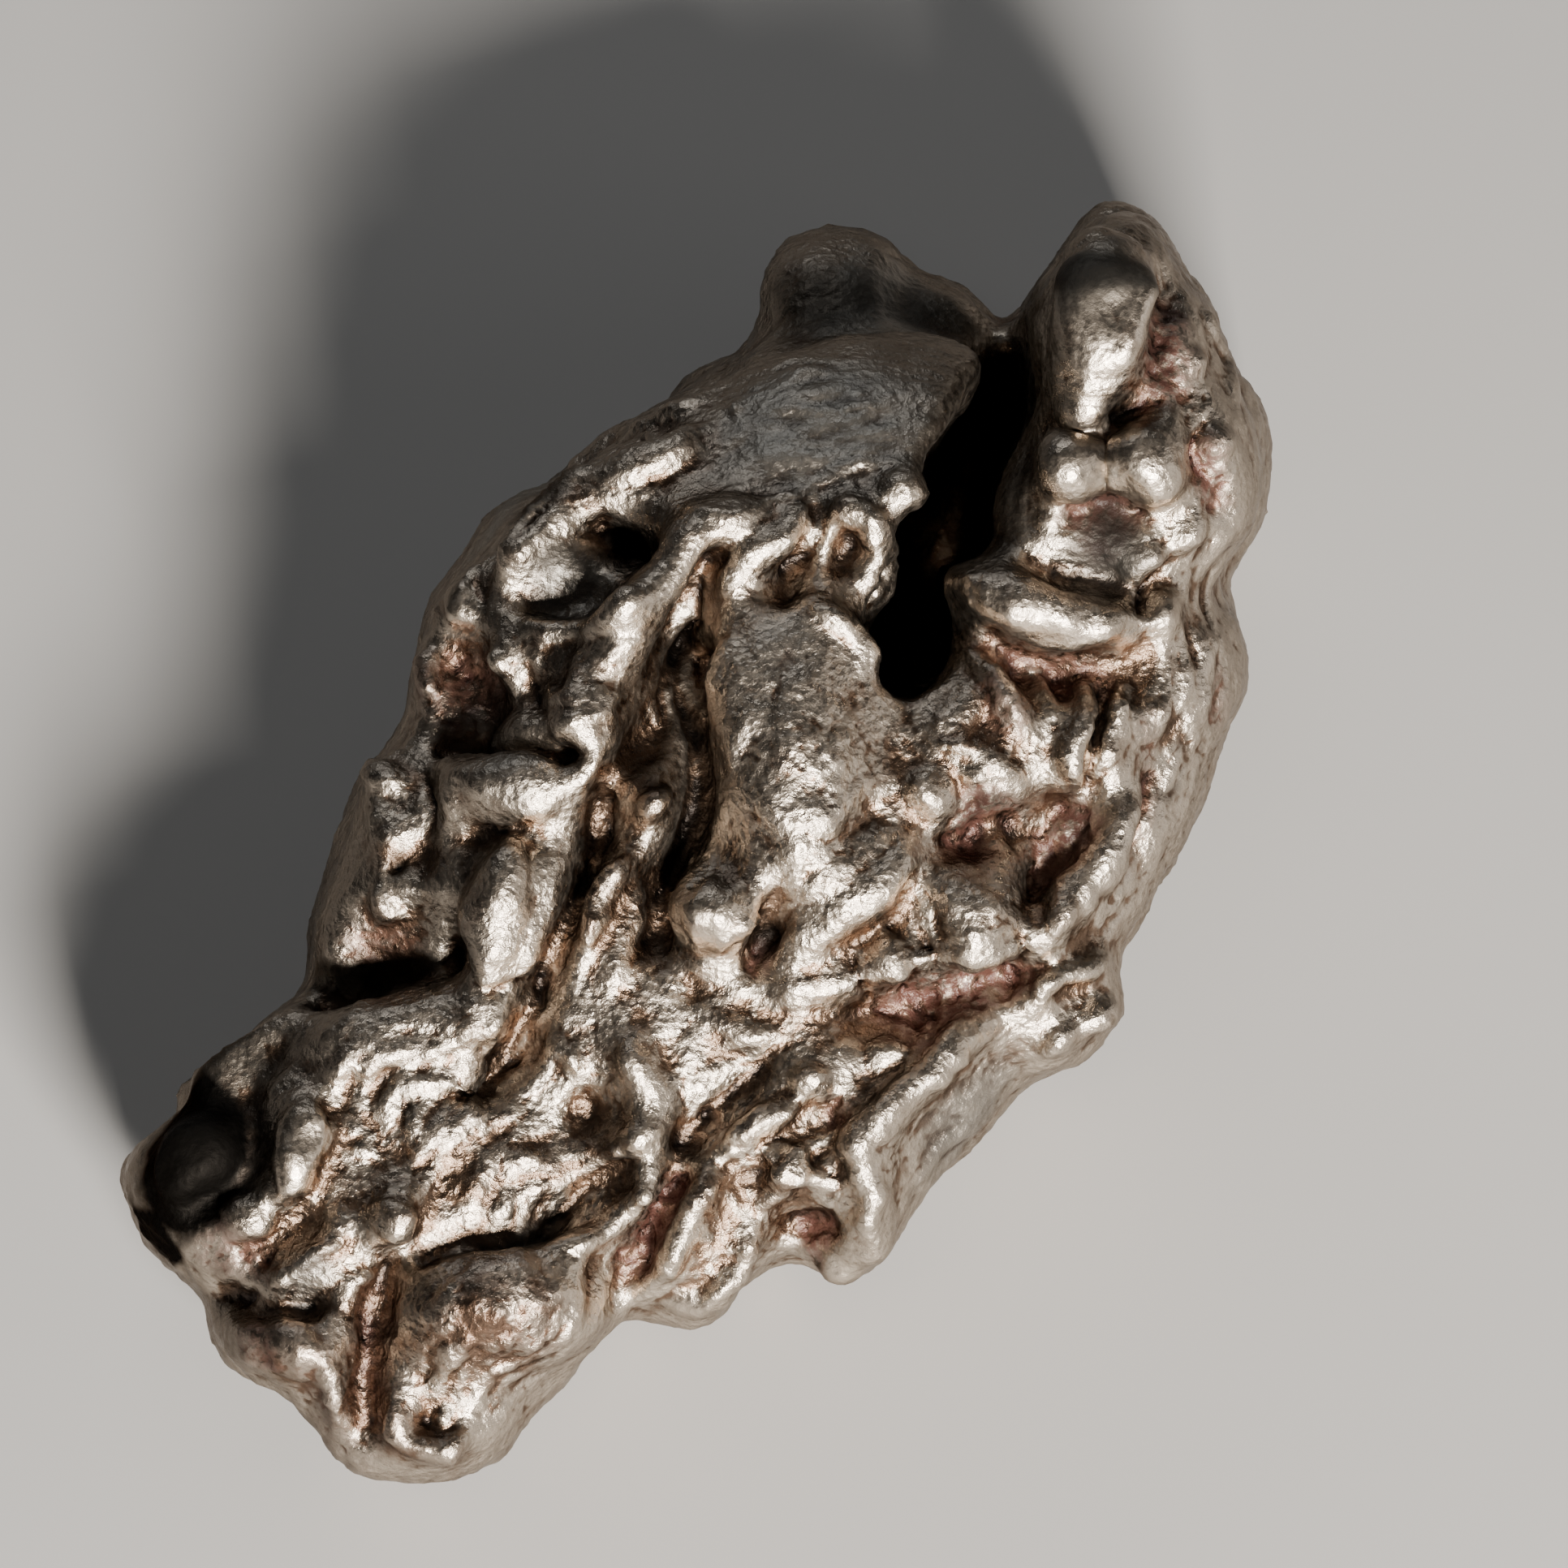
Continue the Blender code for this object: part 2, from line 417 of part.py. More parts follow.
def hollow_hidden_sides(ob):
    """Thumbprint hollows, spread evenly over the sides that the face doesn't show."""
    rng = random.Random(SEED)
    points = points_of(ob.data)
    normals = normals_of(ob.data)
    hidden = np.flatnonzero(normals[:, 2] < HIDDEN_BELOW)
    taken = []
    rise = np.zeros(len(points))
    for _ in range(HOLLOW_TRIES):
        middle = points[rng.choice(hidden)]
        if taken and np.linalg.norm(np.array(taken) - middle, axis=1).min() < HOLLOW_APART:
            continue
        taken.append(middle)
        way = np.array([rng.gauss(0.5, 0.4), rng.gauss(0.8, 0.4), rng.gauss(0.0, 0.3)])
        half = way / np.linalg.norm(way) * HOLLOW_LENGTH / 2
        width = rng.uniform(*HOLLOW_WIDTH)
        depth = rng.uniform(*HOLLOW_DEPTH)
        rise += raised(points, np.array([middle - half, middle + half]), width, -depth)
    fade = np.clip((HIDDEN_BELOW + 0.25 - normals[:, 2]) / 0.25, 0.0, 1.0)
    set_points(ob.data, points + normals * (rise * fade)[:, None])


def narrow_with_distance(ob):
    """Draws in what is nearer to the eye, so that each place keeps its sight line."""
    points = points_of(ob.data)
    points[:, :2] *= 1.0 - points[:, 2:] / EYE_DISTANCE
    set_points(ob.data, points)


def thin_out(ob):
    """Keeps the solid to as many triangles as the part may have."""
    faces = sum(len(p.vertices) - 2 for p in ob.data.polygons)
    decimate = ob.modifiers.new("thin out", "DECIMATE")
    decimate.ratio = MOST_TRIANGLES / faces
    decimate.use_collapse_triangulate = True
    apply_modifiers(ob)


def lay_down(ob):
    """Turns the face up, flattens the lowest points into one plane and puts the middle over the origin."""
    turn = np.array(Matrix.Rotation(FACE_SLOPE, 3, "X"))
    points = points_of(ob.data) @ turn.T
    points[:, 2] = np.maximum(points[:, 2], points[:, 2].min() + REST_CUT)
    low = points.min(0)
    high = points.max(0)
    points -= [(low[0] + high[0]) / 2, (low[1] + high[1]) / 2, low[2]]
    set_points(ob.data, points * MM)


def meteoric_iron():
    material = bpy.data.materials.new("meteoric_iron")
    material.use_nodes = True
    shader = material.node_tree.nodes["Principled BSDF"]
    shader.inputs["Base Color"].default_value = (0.42, 0.35, 0.29, 1.0)
    shader.inputs["Metallic"].default_value = 1.0
    shader.inputs["Roughness"].default_value = 0.38
    return material


def main():
    clear_scene()
    parts = collection(COLLECTION)
    cutters = collection(CUTTERS)
    lump = join([swollen(mass, NODE, parts) for mass in MASSES])
    fuse(lump, FORM_VOXEL, 2)
    cut(lump, swollen(CLEFT, "cleft", cutters))
    fuse(lump, FORM_VOXEL, 1)
    sculpt(lump, BROAD_FORMS)
    roughen(lump)
    hollow_hidden_sides(lump)
    fuse(lump, DETAIL_VOXEL, 1)
    sculpt(lump, FINE_FORMS)
    fuse(lump, DETAIL_VOXEL, 1)
    narrow_with_distance(lump)
    thin_out(lump)
    lay_down(lump)
    lump.name = NODE
    lump.data.name = NODE
    lump.data.materials.clear()
    lump.data.materials.append(meteoric_iron())
    lump.data.shade_smooth()


main()
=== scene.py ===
# The looks of the iron meteorite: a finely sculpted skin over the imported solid, and its stage.
#
# The skin is sculpted in millimetres in the frame of the lump's face: u to the right across the
# face, v up along it, and w out of it, as the eye of the camera sees them.

import math

import bmesh
import bpy
import numpy as np
from bpy.props import FloatProperty, FloatVectorProperty, PointerProperty
from mathutils import Matrix, Vector, noise
from mathutils.bvhtree import BVHTree


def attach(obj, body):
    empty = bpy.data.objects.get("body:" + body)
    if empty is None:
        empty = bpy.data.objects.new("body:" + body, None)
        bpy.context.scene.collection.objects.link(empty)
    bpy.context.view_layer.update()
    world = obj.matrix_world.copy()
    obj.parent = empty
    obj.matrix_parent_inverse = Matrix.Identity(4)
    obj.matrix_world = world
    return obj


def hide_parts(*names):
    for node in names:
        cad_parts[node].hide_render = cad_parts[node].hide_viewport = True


bl_info = {
    "name": "Iron meteorite",
    "version": (1, 0, 0),
    "blender": (4, 5, 0),
    "location": "View3D > Sidebar > Meteorite",
    "description": "Sculpts the skin of an iron meteorite and sets its stage",
    "category": "Object",
}

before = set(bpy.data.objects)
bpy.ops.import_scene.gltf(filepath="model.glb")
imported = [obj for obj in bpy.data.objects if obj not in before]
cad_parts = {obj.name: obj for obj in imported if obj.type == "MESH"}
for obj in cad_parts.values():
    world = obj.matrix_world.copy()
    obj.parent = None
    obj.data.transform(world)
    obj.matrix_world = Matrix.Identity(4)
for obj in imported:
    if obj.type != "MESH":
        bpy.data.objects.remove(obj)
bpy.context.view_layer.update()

NODE = "meteorite"
SLOT = "meteoric_iron"

# The face: its slope, the point of the row frame behind the middle of the picture, and the eye
MM = 0.001
FACE_SLOPE = math.radians(25.0)
FACE_MIDDLE = Vector((0.0031615, 0.0006921, 0.0103578))
EYE_DISTANCE = 450.0
PICTURE_WIDTH = 60.375
SENSOR = 36.0

# The mesh of the skin. A vertex is on the hidden side where its normal's w is below HIDDEN_BELOW
SOFTENING = 6
HIDDEN_ROUNDS = 40
HIDDEN_BELOW = -0.1
HIDDEN_BLEND = 0.4
MOST_TRIANGLES = 190000
RESTING_HEIGHT = 3.0 * MM

# Paths of the fine forms: spacing of their places, and how they narrow towards their ends
STEP_ALONG = 0.35
END_SHARE = 0.45
TAPER_REACH = 0.3
TAPER_POWER = 0.7

# Noises over the skin, each with the size of its lumps in millimetres and its seed
FORM_NOISE = (1.4, 8.8)
BROAD_LUMPS = (2.2, 4.4)
SMALL_LUMPS = (1.1, 7.3)
HIDDEN_HOLLOWS = (4.6, 6.6)
COARSE_GRAIN = (0.55, 3.1)
FINE_GRAIN = (0.3, 1.7)
ROUND_PITS = (0.8, 6.2)
SMALL_PITS = (0.5, 2.6)

# Noises that make the forms waver: size of their lumps, how far they move a place, and seed.
# Blender's vector noise is different in each run unless it is given a seed of its own
WAVERS = ((2.8, 0.7, 5.7), (1.0, 0.22, 2.9))
WAVER_SEED = 2

# How much of each relief there is: on calm metal, in its own places and on the hidden side
FORM_VARIATION = 0.4
CALMING = 0.8
FLOW_EVERYWHERE = 0.35
FLOW_HIDDEN = 0.6
LUMPS_HIDDEN = 2.0
HOLLOWS_HIDDEN = 5.0
GRAIN_LEAST = 0.3
GRAIN_COARSE = 1.4
PITS_EVERYWHERE = 0.15

# Cavities by which the tarnish and the painted shade of the deepest hollows go: rounds of averaging,
# and the depth in millimetres that is full
FINE_CAVITY = (2, 0.035)
BROAD_CAVITY = (26, 0.35)

# Painted shade: the way in the face's axes from which the key light falls. Sides that look that way
# keep their colour, the rest is painted darker the more it is turned from it, and steep sides too
KEY_LIT_WAY = (0.45, -0.5, 0.75)
KEY_LIT_UP_TO = 0.62
STEEP_BELOW = 0.5

# Finish of the metal and the floor
EDGE_TINT = (0.4, 0.35, 0.31, 1.0)
COAT = 0.35
COAT_ROUGHNESS = 0.3
FLOOR_SHADE = (0.36, 0.352, 0.345, 1.0)

# Soft boxes: the way that they stand in the face's axes, their size in metres and their colour
LIGHT_DISTANCE = 0.4
KEY_LIGHT = ((0.22, -0.5, 0.84), (0.1, 0.1), (1.0, 0.95, 0.88))
SIDE_LIGHT = ((1.0, 0.0, 0.15), (0.2, 0.3), (1.0, 0.96, 0.92))
BACK_LIGHT = ((-0.2, 0.95, 0.12), (0.3, 0.12), (0.95, 0.98, 1.0))

# Fine forms of the face, by region. Each has the places that its middle passes, its width and its
# height: a rib or a lump has a height above zero, a crease or a pit one below it.
HORN = [
    ([(12.2, 20.6), (11.8, 18.0), (11.6, 15.6)], 5.4, 0.5),
    ([(13.9, 19.3), (13.4, 17.6), (13.0, 16.0)], 1.2, 0.25),
    ([(11.1, 12.4)], 5.0, 0.9),
    ([(14.0, 12.4)], 5.2, 0.9),
    ([(11.2, 9.3), (13.4, 9.5)], 2.4, -0.2),
    ([(10.3, 10.7)], 1.6, 0.4),
    ([(13.4, 8.0), (14.7, 9.2)], 1.9, 0.5),
    ([(7.4, 6.8), (8.8, 6.5), (10.4, 6.0), (12.4, 5.8)], 3.6, 0.6),
    ([(15.7, 16.7)], 1.6, 0.5),
    ([(16.8, 13.3)], 1.8, 0.5),
    ([(16.2, 18.2), (17.0, 16.2), (17.8, 13.6)], 1.4, 0.3),
    ([(14.9, 6.7)], 2.0, 0.6),
    ([(15.4, 9.6)], 2.0, 0.4),
    ([(15.2, 19.2), (14.7, 17.8), (14.6, 16.3)], 0.8, -0.4),
    ([(14.2, 15.2), (13.2, 14.2), (12.2, 13.8), (10.8, 13.8)], 0.9, -0.35),
    ([(12.5, 13.6), (12.5, 11.6)], 0.9, -0.4),
    ([(12.3, 20.2)], 6.4, 0.2),
    ([(13.7, 10.2), (15.2, 10.9)], 0.6, -0.5),
    ([(14.6, 8.4), (13.9, 6.8), (13.6, 5.2)], 0.6, -0.6),
    ([(16.1, 14.1), (15.9, 12.7), (16.5, 11.4)], 0.7, -0.45),
    ([(16.0, 15.2)], 0.8, -0.5),
]
UPPER_FACE = [
    ([(4.8, 12.0), (4.5, 10.8)], 2.6, 0.25),
    ([(1.8, 10.2), (2.9, 10.4), (3.5, 9.2), (3.4, 7.2)], 2.0, 0.5),
    ([(1.2, 6.8), (2.5, 6.0), (3.2, 5.0)], 1.3, 0.4),
    ([(0.6, 10.3), (-0.5, 9.3), (-1.5, 8.4), (-2.3, 7.6)], 2.0, 0.6),
    ([(-1.7, 10.0), (-3.3, 9.5), (-4.5, 8.0), (-5.5, 6.5), (-6.6, 5.0), (-7.6, 3.4),
      (-7.4, 1.6)], 4.4, 0.3),
    ([(-4.0, 10.4), (-1.0, 10.9), (1.0, 11.2), (3.0, 12.2), (4.6, 12.6)], 0.8, 0.25),
    ([(-7.9, 4.2), (-8.3, 2.4)], 4.2, 0.8),
    ([(-4.0, 13.1), (-5.5, 12.5), (-7.5, 11.2), (-9.5, 9.8), (-10.2, 8.5)], 2.4, 0.4),
    ([(-3.0, 15.0), (-5.0, 14.0), (-7.0, 13.0), (-8.5, 11.7)], 1.5, 0.4),
    ([(-12.0, 7.8), (-12.8, 6.6)], 2.4, 0.6),
    ([(-10.0, 6.2), (-8.7, 5.9), (-7.0, 6.3), (-5.6, 7.2)], 1.2, 0.35),
    ([(-1.7, 14.2)], 0.9, 0.4),
    ([(1.9, 9.0), (2.3, 8.0)], 1.5, -0.35),
    ([(1.2, 10.3), (0.9, 9.0), (0.1, 8.3), (0.0, 7.2)], 0.6, -0.6),
    ([(-2.5, 8.5), (-3.7, 6.5), (-4.2, 4.5), (-4.8, 2.5), (-5.5, 1.0)], 0.8, -0.5),
    ([(-4.8, 13.5), (-7.0, 12.4), (-8.8, 10.9), (-10.4, 9.4)], 0.6, -0.5),
    ([(-7.0, 9.8), (-6.0, 9.3), (-5.2, 8.6)], 1.2, -0.6),
]
LEFT_SIDE = [
    ([(-12.4, -0.1), (-10.5, 0.0), (-8.5, 0.1)], 3.8, 0.4),
    ([(-10.6, -2.4), (-11.0, -5.0), (-11.2, -6.8)], 3.8, 0.6),
    ([(-9.2, -2.8), (-9.1, -4.8), (-9.7, -6.8)], 1.8, 0.15),
    ([(-11.0, 1.6), (-9.4, 1.8), (-7.6, 2.0)], 2.8, 0.6),
    ([(-15.6, 0.9), (-15.2, -0.3)], 2.2, 0.5),
    ([(-15.3, -1.8)], 1.5, 0.5),
    ([(-15.3, -4.4)], 1.8, 0.5),
    ([(-10.9, 4.8)], 1.4, 0.4),
    ([(-13.7, 5.0), (-13.6, 3.6)], 1.2, 0.4),
    ([(-12.0, -1.9), (-10.8, -1.9), (-9.7, -1.8)], 0.6, -0.4),
    ([(-13.9, 0.5), (-13.7, -1.5), (-13.9, -3.0)], 0.7, -0.6),
    ([(-14.7, -2.9)], 1.0, -0.6),
    ([(-12.6, -4.9), (-12.4, -7.2)], 0.6, -0.5),
    ([(-9.8, 4.2), (-9.8, 3.0)], 0.9, -0.5),
    ([(-11.6, -7.7), (-9.6, -7.3)], 0.6, -0.4),
]
MIDDLE = [
    ([(-0.2, 3.4), (0.4, 0.6), (0.9, -2.0)], 7.0, 0.5),
    ([(4.2, -2.8), (2.8, -4.3), (1.0, -5.7), (0.2, -6.0)], 3.4, 0.3),
    ([(-3.6, -4.6), (-1.9, -5.3)], 4.0, 0.6),
    ([(-2.0, 5.6), (-2.3, 3.2), (-1.9, 0.8)], 1.8, 0.35),
    ([(-3.4, -7.0)], 2.4, 0.4),
    ([(-5.2, -0.9)], 1.8, 0.6),
    ([(-6.0, -3.0), (-7.0, -4.5), (-7.8, -6.3)], 1.5, 0.6),
    ([(-5.6, -4.2), (-6.2, -6.4), (-6.8, -8.4)], 1.6, 0.4),
    ([(-6.5, 0.3), (-7.0, -1.0), (-7.3, -2.5), (-8.0, -4.3), (-8.7, -6.0), (-9.2, -7.3), (-9.5, -8.5),
      (-10.0, -10.3), (-11.4, -11.5), (-12.0, -11.9)], 0.7, -0.5),
    ([(-3.6, 6.6), (-4.0, 4.6), (-3.9, 2.6), (-3.6, 0.6), (-3.4, -1.0), (-4.0, -2.6), (-5.0, -4.5),
      (-4.9, -5.8)], 1.2, -0.5),
    ([(0.5, 5.2), (-0.3, 4.0), (-0.6, 2.5), (-0.6, 1.7)], 0.6, -0.4),
    ([(3.4, -1.4), (2.0, -3.2), (0.8, -4.4)], 2.0, 0.4),
    ([(-0.8, -6.2)], 1.9, -0.7),
    ([(-3.0, -6.2), (-2.0, -5.8), (-0.9, -5.0)], 0.7, 0.3),
]
RIGHT_SIDE = [
    ([(5.5, -0.3)], 2.4, 0.5),
    ([(7.8, -0.2)], 2.2, 0.4),
    ([(7.3, 4.8), (8.3, 3.5), (9.2, 2.2)], 1.5, 0.5),
    ([(9.2, 4.9), (10.0, 3.4), (10.4, 2.2)], 1.3, 0.4),
    ([(6.9, 2.7)], 1.8, 0.4),
    ([(6.4, -4.6), (8.4, -4.7)], 3.2, 0.4),
    ([(11.8, 4.3), (11.5, 2.5), (11.0, 1.0), (11.2, 0.0)], 1.3, 0.5),
    ([(12.7, 4.0), (12.8, 2.0), (12.0, 0.3)], 1.3, 0.5),
    ([(13.2, -1.0), (12.5, -3.0), (11.2, -4.5), (10.3, -5.4)], 3.0, 0.5),
    ([(6.4, -2.2), (8.2, -1.9), (10.0, -2.2)], 3.6, -0.7),
    ([(10.4, -2.0)], 1.3, 0.6),
    ([(6.0, 1.7), (9.8, 0.2)], 1.0, 0.3),
    ([(14.4, 3.4), (13.9, 1.6)], 1.8, 0.3),
    ([(12.2, 3.5), (12.2, 1.5), (11.7, 0.0)], 0.6, -0.5),
    ([(15.0, 2.0), (14.4, 0.7), (14.2, -0.3), (13.9, -1.5), (13.6, -2.7)], 0.7, -0.45),
    ([(12.8, -4.2)], 0.9, -0.5),
    ([(5.6, -3.4), (6.6, -5.9)], 0.6, -0.4),
]
LOWER_RIGHT = [
    ([(2.0, -7.6), (3.0, -7.0), (5.0, -6.3), (7.0, -6.0), (9.0, -5.8)], 2.2, -0.3),
    ([(3.9, -5.9), (4.5, -7.5)], 1.8, 0.5),
    ([(7.0, -5.2), (7.5, -7.0)], 2.0, 0.5),
    ([(2.6, -6.4), (3.1, -8.2)], 0.9, -0.5),
    ([(5.6, -5.2), (6.0, -7.4)], 0.9, -0.5),
    ([(8.7, -5.0), (9.0, -6.8)], 0.9, -0.5),
    ([(12.2, -6.7), (10.5, -7.3), (9.8, -8.3)], 1.3, 0.4),
    ([(12.2, -8.7)], 2.2, 0.5),
    ([(10.7, -9.9)], 1.8, 0.4),
    ([(7.0, -9.3), (6.0, -10.3), (5.0, -11.5), (4.0, -12.3), (2.7, -13.5), (3.0, -15.0),
      (3.2, -17.5)], 2.0, 0.6),
    ([(-1.0, -16.3), (0.4, -14.8), (1.5, -15.5)], 1.2, 0.5),
    ([(0.4, -14.8), (0.2, -14.0), (-0.8, -14.3)], 1.2, 0.5),
    ([(0.8, -11.5)], 2.0, 0.5),
    ([(0.0, -12.3), (-1.2, -13.2), (-2.3, -14.0)], 1.6, 0.5),
    ([(-3.0, -15.2), (-3.3, -16.5), (-4.5, -18.5), (-5.5, -19.3)], 1.5, 0.5),
    ([(-1.4, -17.3), (-1.6, -18.5), (-2.8, -20.0)], 1.4, 0.5),
    ([(2.0, -18.7)], 2.4, 0.4),
    ([(-3.6, -20.0)], 2.4, 0.4),
    ([(-2.6, -9.4), (-0.4, -9.9)], 1.8, 0.4),
    ([(2.6, -10.4), (4.2, -10.2)], 1.5, 0.4),
    ([(3.0, -8.8), (4.5, -9.0), (6.0, -8.7)], 0.8, -0.6),
    ([(0.3, -17.2), (1.4, -17.1)], 1.2, -0.7),
    ([(-1.0, -11.0), (-2.0, -12.0), (-3.5, -13.3), (-4.0, -13.8)], 0.7, -0.55),
    ([(-3.8, -15.5), (-5.0, -16.5), (-5.5, -18.3), (-6.2, -19.5)], 0.8, -0.5),
    ([(3.2, -12.9)], 0.8, -0.5),
    ([(3.1, -15.1)], 0.8, -0.5),
]
LOWER_LEFT = [
    ([(-6.0, -10.2), (-5.3, -12.0), (-5.0, -13.5), (-5.2, -15.8)], 2.6, 0.3),
    ([(-5.4, -13.3), (-7.3, -14.0)], 1.4, 0.4),
    ([(-15.0, -12.6), (-11.5, -11.6)], 7.0, 0.5),
    ([(-17.6, -11.2), (-15.5, -10.5), (-13.0, -10.0)], 1.8, 0.25),
    ([(-16.0, -12.5), (-13.6, -11.6), (-11.4, -11.0)], 1.6, 0.25),
    ([(-14.2, -13.9), (-12.0, -12.9), (-10.0, -12.5)], 1.6, 0.25),
    ([(-12.2, -15.6), (-10.0, -14.6), (-8.2, -14.5)], 1.6, 0.25),
    ([(-9.2, -9.8), (-8.0, -11.4)], 1.6, 0.35),
    ([(-18.6, -12.4), (-18.8, -14.0), (-19.3, -15.8)], 2.8, 0.8),
    ([(-14.7, -15.9), (-15.4, -17.2)], 2.2, 0.7),
    ([(-20.8, -16.6)], 2.6, 0.5),
    ([(-23.0, -14.2)], 4.2, 0.4),
    ([(-20.2, -21.3), (-18.3, -21.8)], 3.4, 0.5),
    ([(-17.9, -22.0), (-17.1, -23.4), (-17.0, -24.4)], 1.6, 0.4),
    ([(-14.8, -23.8), (-14.7, -25.1), (-13.3, -25.8), (-12.3, -25.0)], 1.3, 0.5),
    ([(-13.0, -23.6), (-13.2, -24.8)], 0.7, 0.3),
    ([(-12.4, -19.8), (-9.4, -19.6)], 6.0, 0.4),
    ([(-8.0, -17.7), (-6.0, -16.5), (-5.0, -15.8)], 1.6, 0.4),
    ([(-19.6, -19.5), (-18.2, -18.2), (-17.0, -17.0)], 1.0, 0.3),
    ([(-17.6, -20.6), (-15.6, -18.8)], 1.0, 0.3),
    ([(-17.0, -13.0), (-16.2, -13.4), (-16.4, -14.0), (-15.5, -14.3)], 0.8, 0.3),
    ([(-21.9, -19.8), (-19.8, -20.0), (-17.8, -20.0)], 0.7, -0.5),
    ([(-15.3, -18.4), (-15.8, -21.5), (-16.0, -24.6)], 2.2, -0.35),
    ([(-13.7, -24.5)], 0.9, -0.5),
    ([(-14.0, -18.2), (-12.0, -17.6), (-10.0, -17.4), (-8.0, -17.0)], 0.7, -0.5),
]
FINE_FORMS = HORN + UPPER_FACE + LEFT_SIDE + MIDDLE + RIGHT_SIDE + LOWER_RIGHT + LOWER_LEFT

# Where rust sits in the pits, and where a dull dark oxide covers the metal, its dark colour partly
# painted shade on the faces turned from the light, such as the plateau, the horn's top and the back
# lobes: places, width, strength
RUST = [
    ([(15.0, 18.6), (14.8, 16.8), (14.4, 15.4), (13.6, 14.6)], 2.8, 1.0),
    ([(16.2, 13.6), (16.5, 11.4), (17.2, 10.4)], 2.4, 0.9),
    ([(10.4, 10.6), (12.4, 10.6), (13.8, 10.4)], 2.6, 0.9),
    ([(12.0, 9.4)], 3.0, 0.5),
    ([(7.4, 5.2), (10.6, 4.4), (12.6, 4.0)], 3.0, 0.7),
    ([(7.4, 3.6), (9.6, 1.8)], 2.4, 0.6),
    ([(10.8, -0.6), (10.9, -2.2), (9.8, -4.0)], 4.0, 1.0),
    ([(5.8, -2.4), (7.2, -1.4), (9.4, -1.2)], 3.0, 1.0),
    ([(2.8, -8.8), (6.0, -8.4), (9.6, -7.0)], 3.4, 1.0),
    ([(4.4, -10.0), (6.0, -9.4)], 2.4, 0.7),
    ([(-1.2, -7.0)], 1.8, 0.8),
    ([(0.6, -17.2), (2.0, -17.4)], 3.0, 1.0),
    ([(-4.0, -15.2), (-5.2, -17.0), (-6.2, -19.2)], 2.6, 0.9),
    ([(1.4, -13.0), (2.4, -12.2)], 2.0, 0.6),
    ([(-12.2, 3.6)], 4.6, 0.7),
    ([(-15.6, -5.8)], 4.2, 0.6),
    ([(-22.4, -17.2), (-20.4, -19.0)], 3.6, 0.7),
    ([(-15.6, -19.0), (-16.2, -22.0), (-16.4, -25.0)], 2.6, 0.35),
    ([(-20.8, -20.8), (-19.6, -22.6)], 2.6, 0.6),
    ([(-19.0, -21.0), (-14.6, -25.4)], 7.0, 0.3),
    ([(-11.0, -20.6)], 8.0, 0.25),
    ([(13.8, 3.0), (14.2, 0.4), (13.8, -2.4)], 1.6, 0.6),
    ([(16.8, 4.4), (16.8, 2.2)], 1.8, 0.6),
]
OXIDE_AND_PAINTED_SHADE = [
    ([(-2.0, 12.6), (1.0, 13.8), (5.0, 14.8)], 9.0, 0.9),
    ([(1.8, 18.6), (6.0, 18.0)], 8.0, 0.9),
    ([(12.4, 20.6), (12.0, 18.8)], 6.0, 0.9),
    ([(12.4, 9.0)], 5.0, 0.9),
    ([(-1.4, 5.4), (1.0, 5.8)], 4.0, 0.6),
    ([(-8.4, 7.4)], 4.6, 0.8),
    ([(-22.8, -14.0)], 5.6, 0.9),
    ([(-18.4, -19.0)], 3.0, 0.8),
    ([(-10.6, 0.4)], 3.4, 0.6),
    ([(-8.0, 13.0), (-10.6, 10.6), (-12.4, 8.4)], 3.0, 0.7),
    ([(-11.0, -17.6), (-8.6, -17.0)], 2.4, 0.6),
    ([(8.6, -10.6), (6.8, -13.0), (5.2, -15.6)], 4.4, 0.7),
]

# Where bronze tarnish covers heights and hollows alike: places, width, strength
TARNISHED = [
    ([(-19.8, -17.4), (-17.4, -18.6)], 5.0, 0.9),
    ([(-15.4, -19.0), (-15.8, -25.0)], 3.6, 1.0),
    ([(-20.6, -21.4), (-18.4, -23.4)], 5.0, 1.0),
    ([(-14.6, -25.0)], 6.4, 0.9),
    ([(-12.0, -19.6), (-10.6, -23.0)], 9.0, 1.0),
    ([(-15.0, -15.2), (-9.0, -14.4)], 7.0, 0.8),
    ([(-7.5, -12.8), (-7.5, -15.6)], 3.4, 0.9),
    ([(-12.2, 3.6)], 6.0, 1.0),
    ([(-15.6, -5.8)], 5.4, 1.0),
    ([(-15.4, -2.6)], 3.0, 0.7),
    ([(-4.4, 4.6), (-5.6, 0.4), (-6.4, -4.0), (-5.6, -9.0)], 4.4, 0.9),
    ([(-7.0, 5.2), (-8.6, 3.0)], 3.4, 0.5),
    ([(-9.0, 10.0), (-6.0, 12.0)], 2.6, 0.6),
    ([(1.8, -3.0)], 4.0, 0.5),
    ([(6.5, 2.4), (9.0, 0.6)], 6.0, 0.6),
    ([(5.0, -8.0), (0.0, -10.0)], 5.0, 0.6),
    ([(0.0, -14.5), (-3.0, -17.5)], 7.0, 0.6),
    ([(9.6, 5.0), (13.4, 4.4)], 4.0, 0.6),
    ([(11.2, 10.2), (13.6, 10.4)], 4.0, 0.8),
]
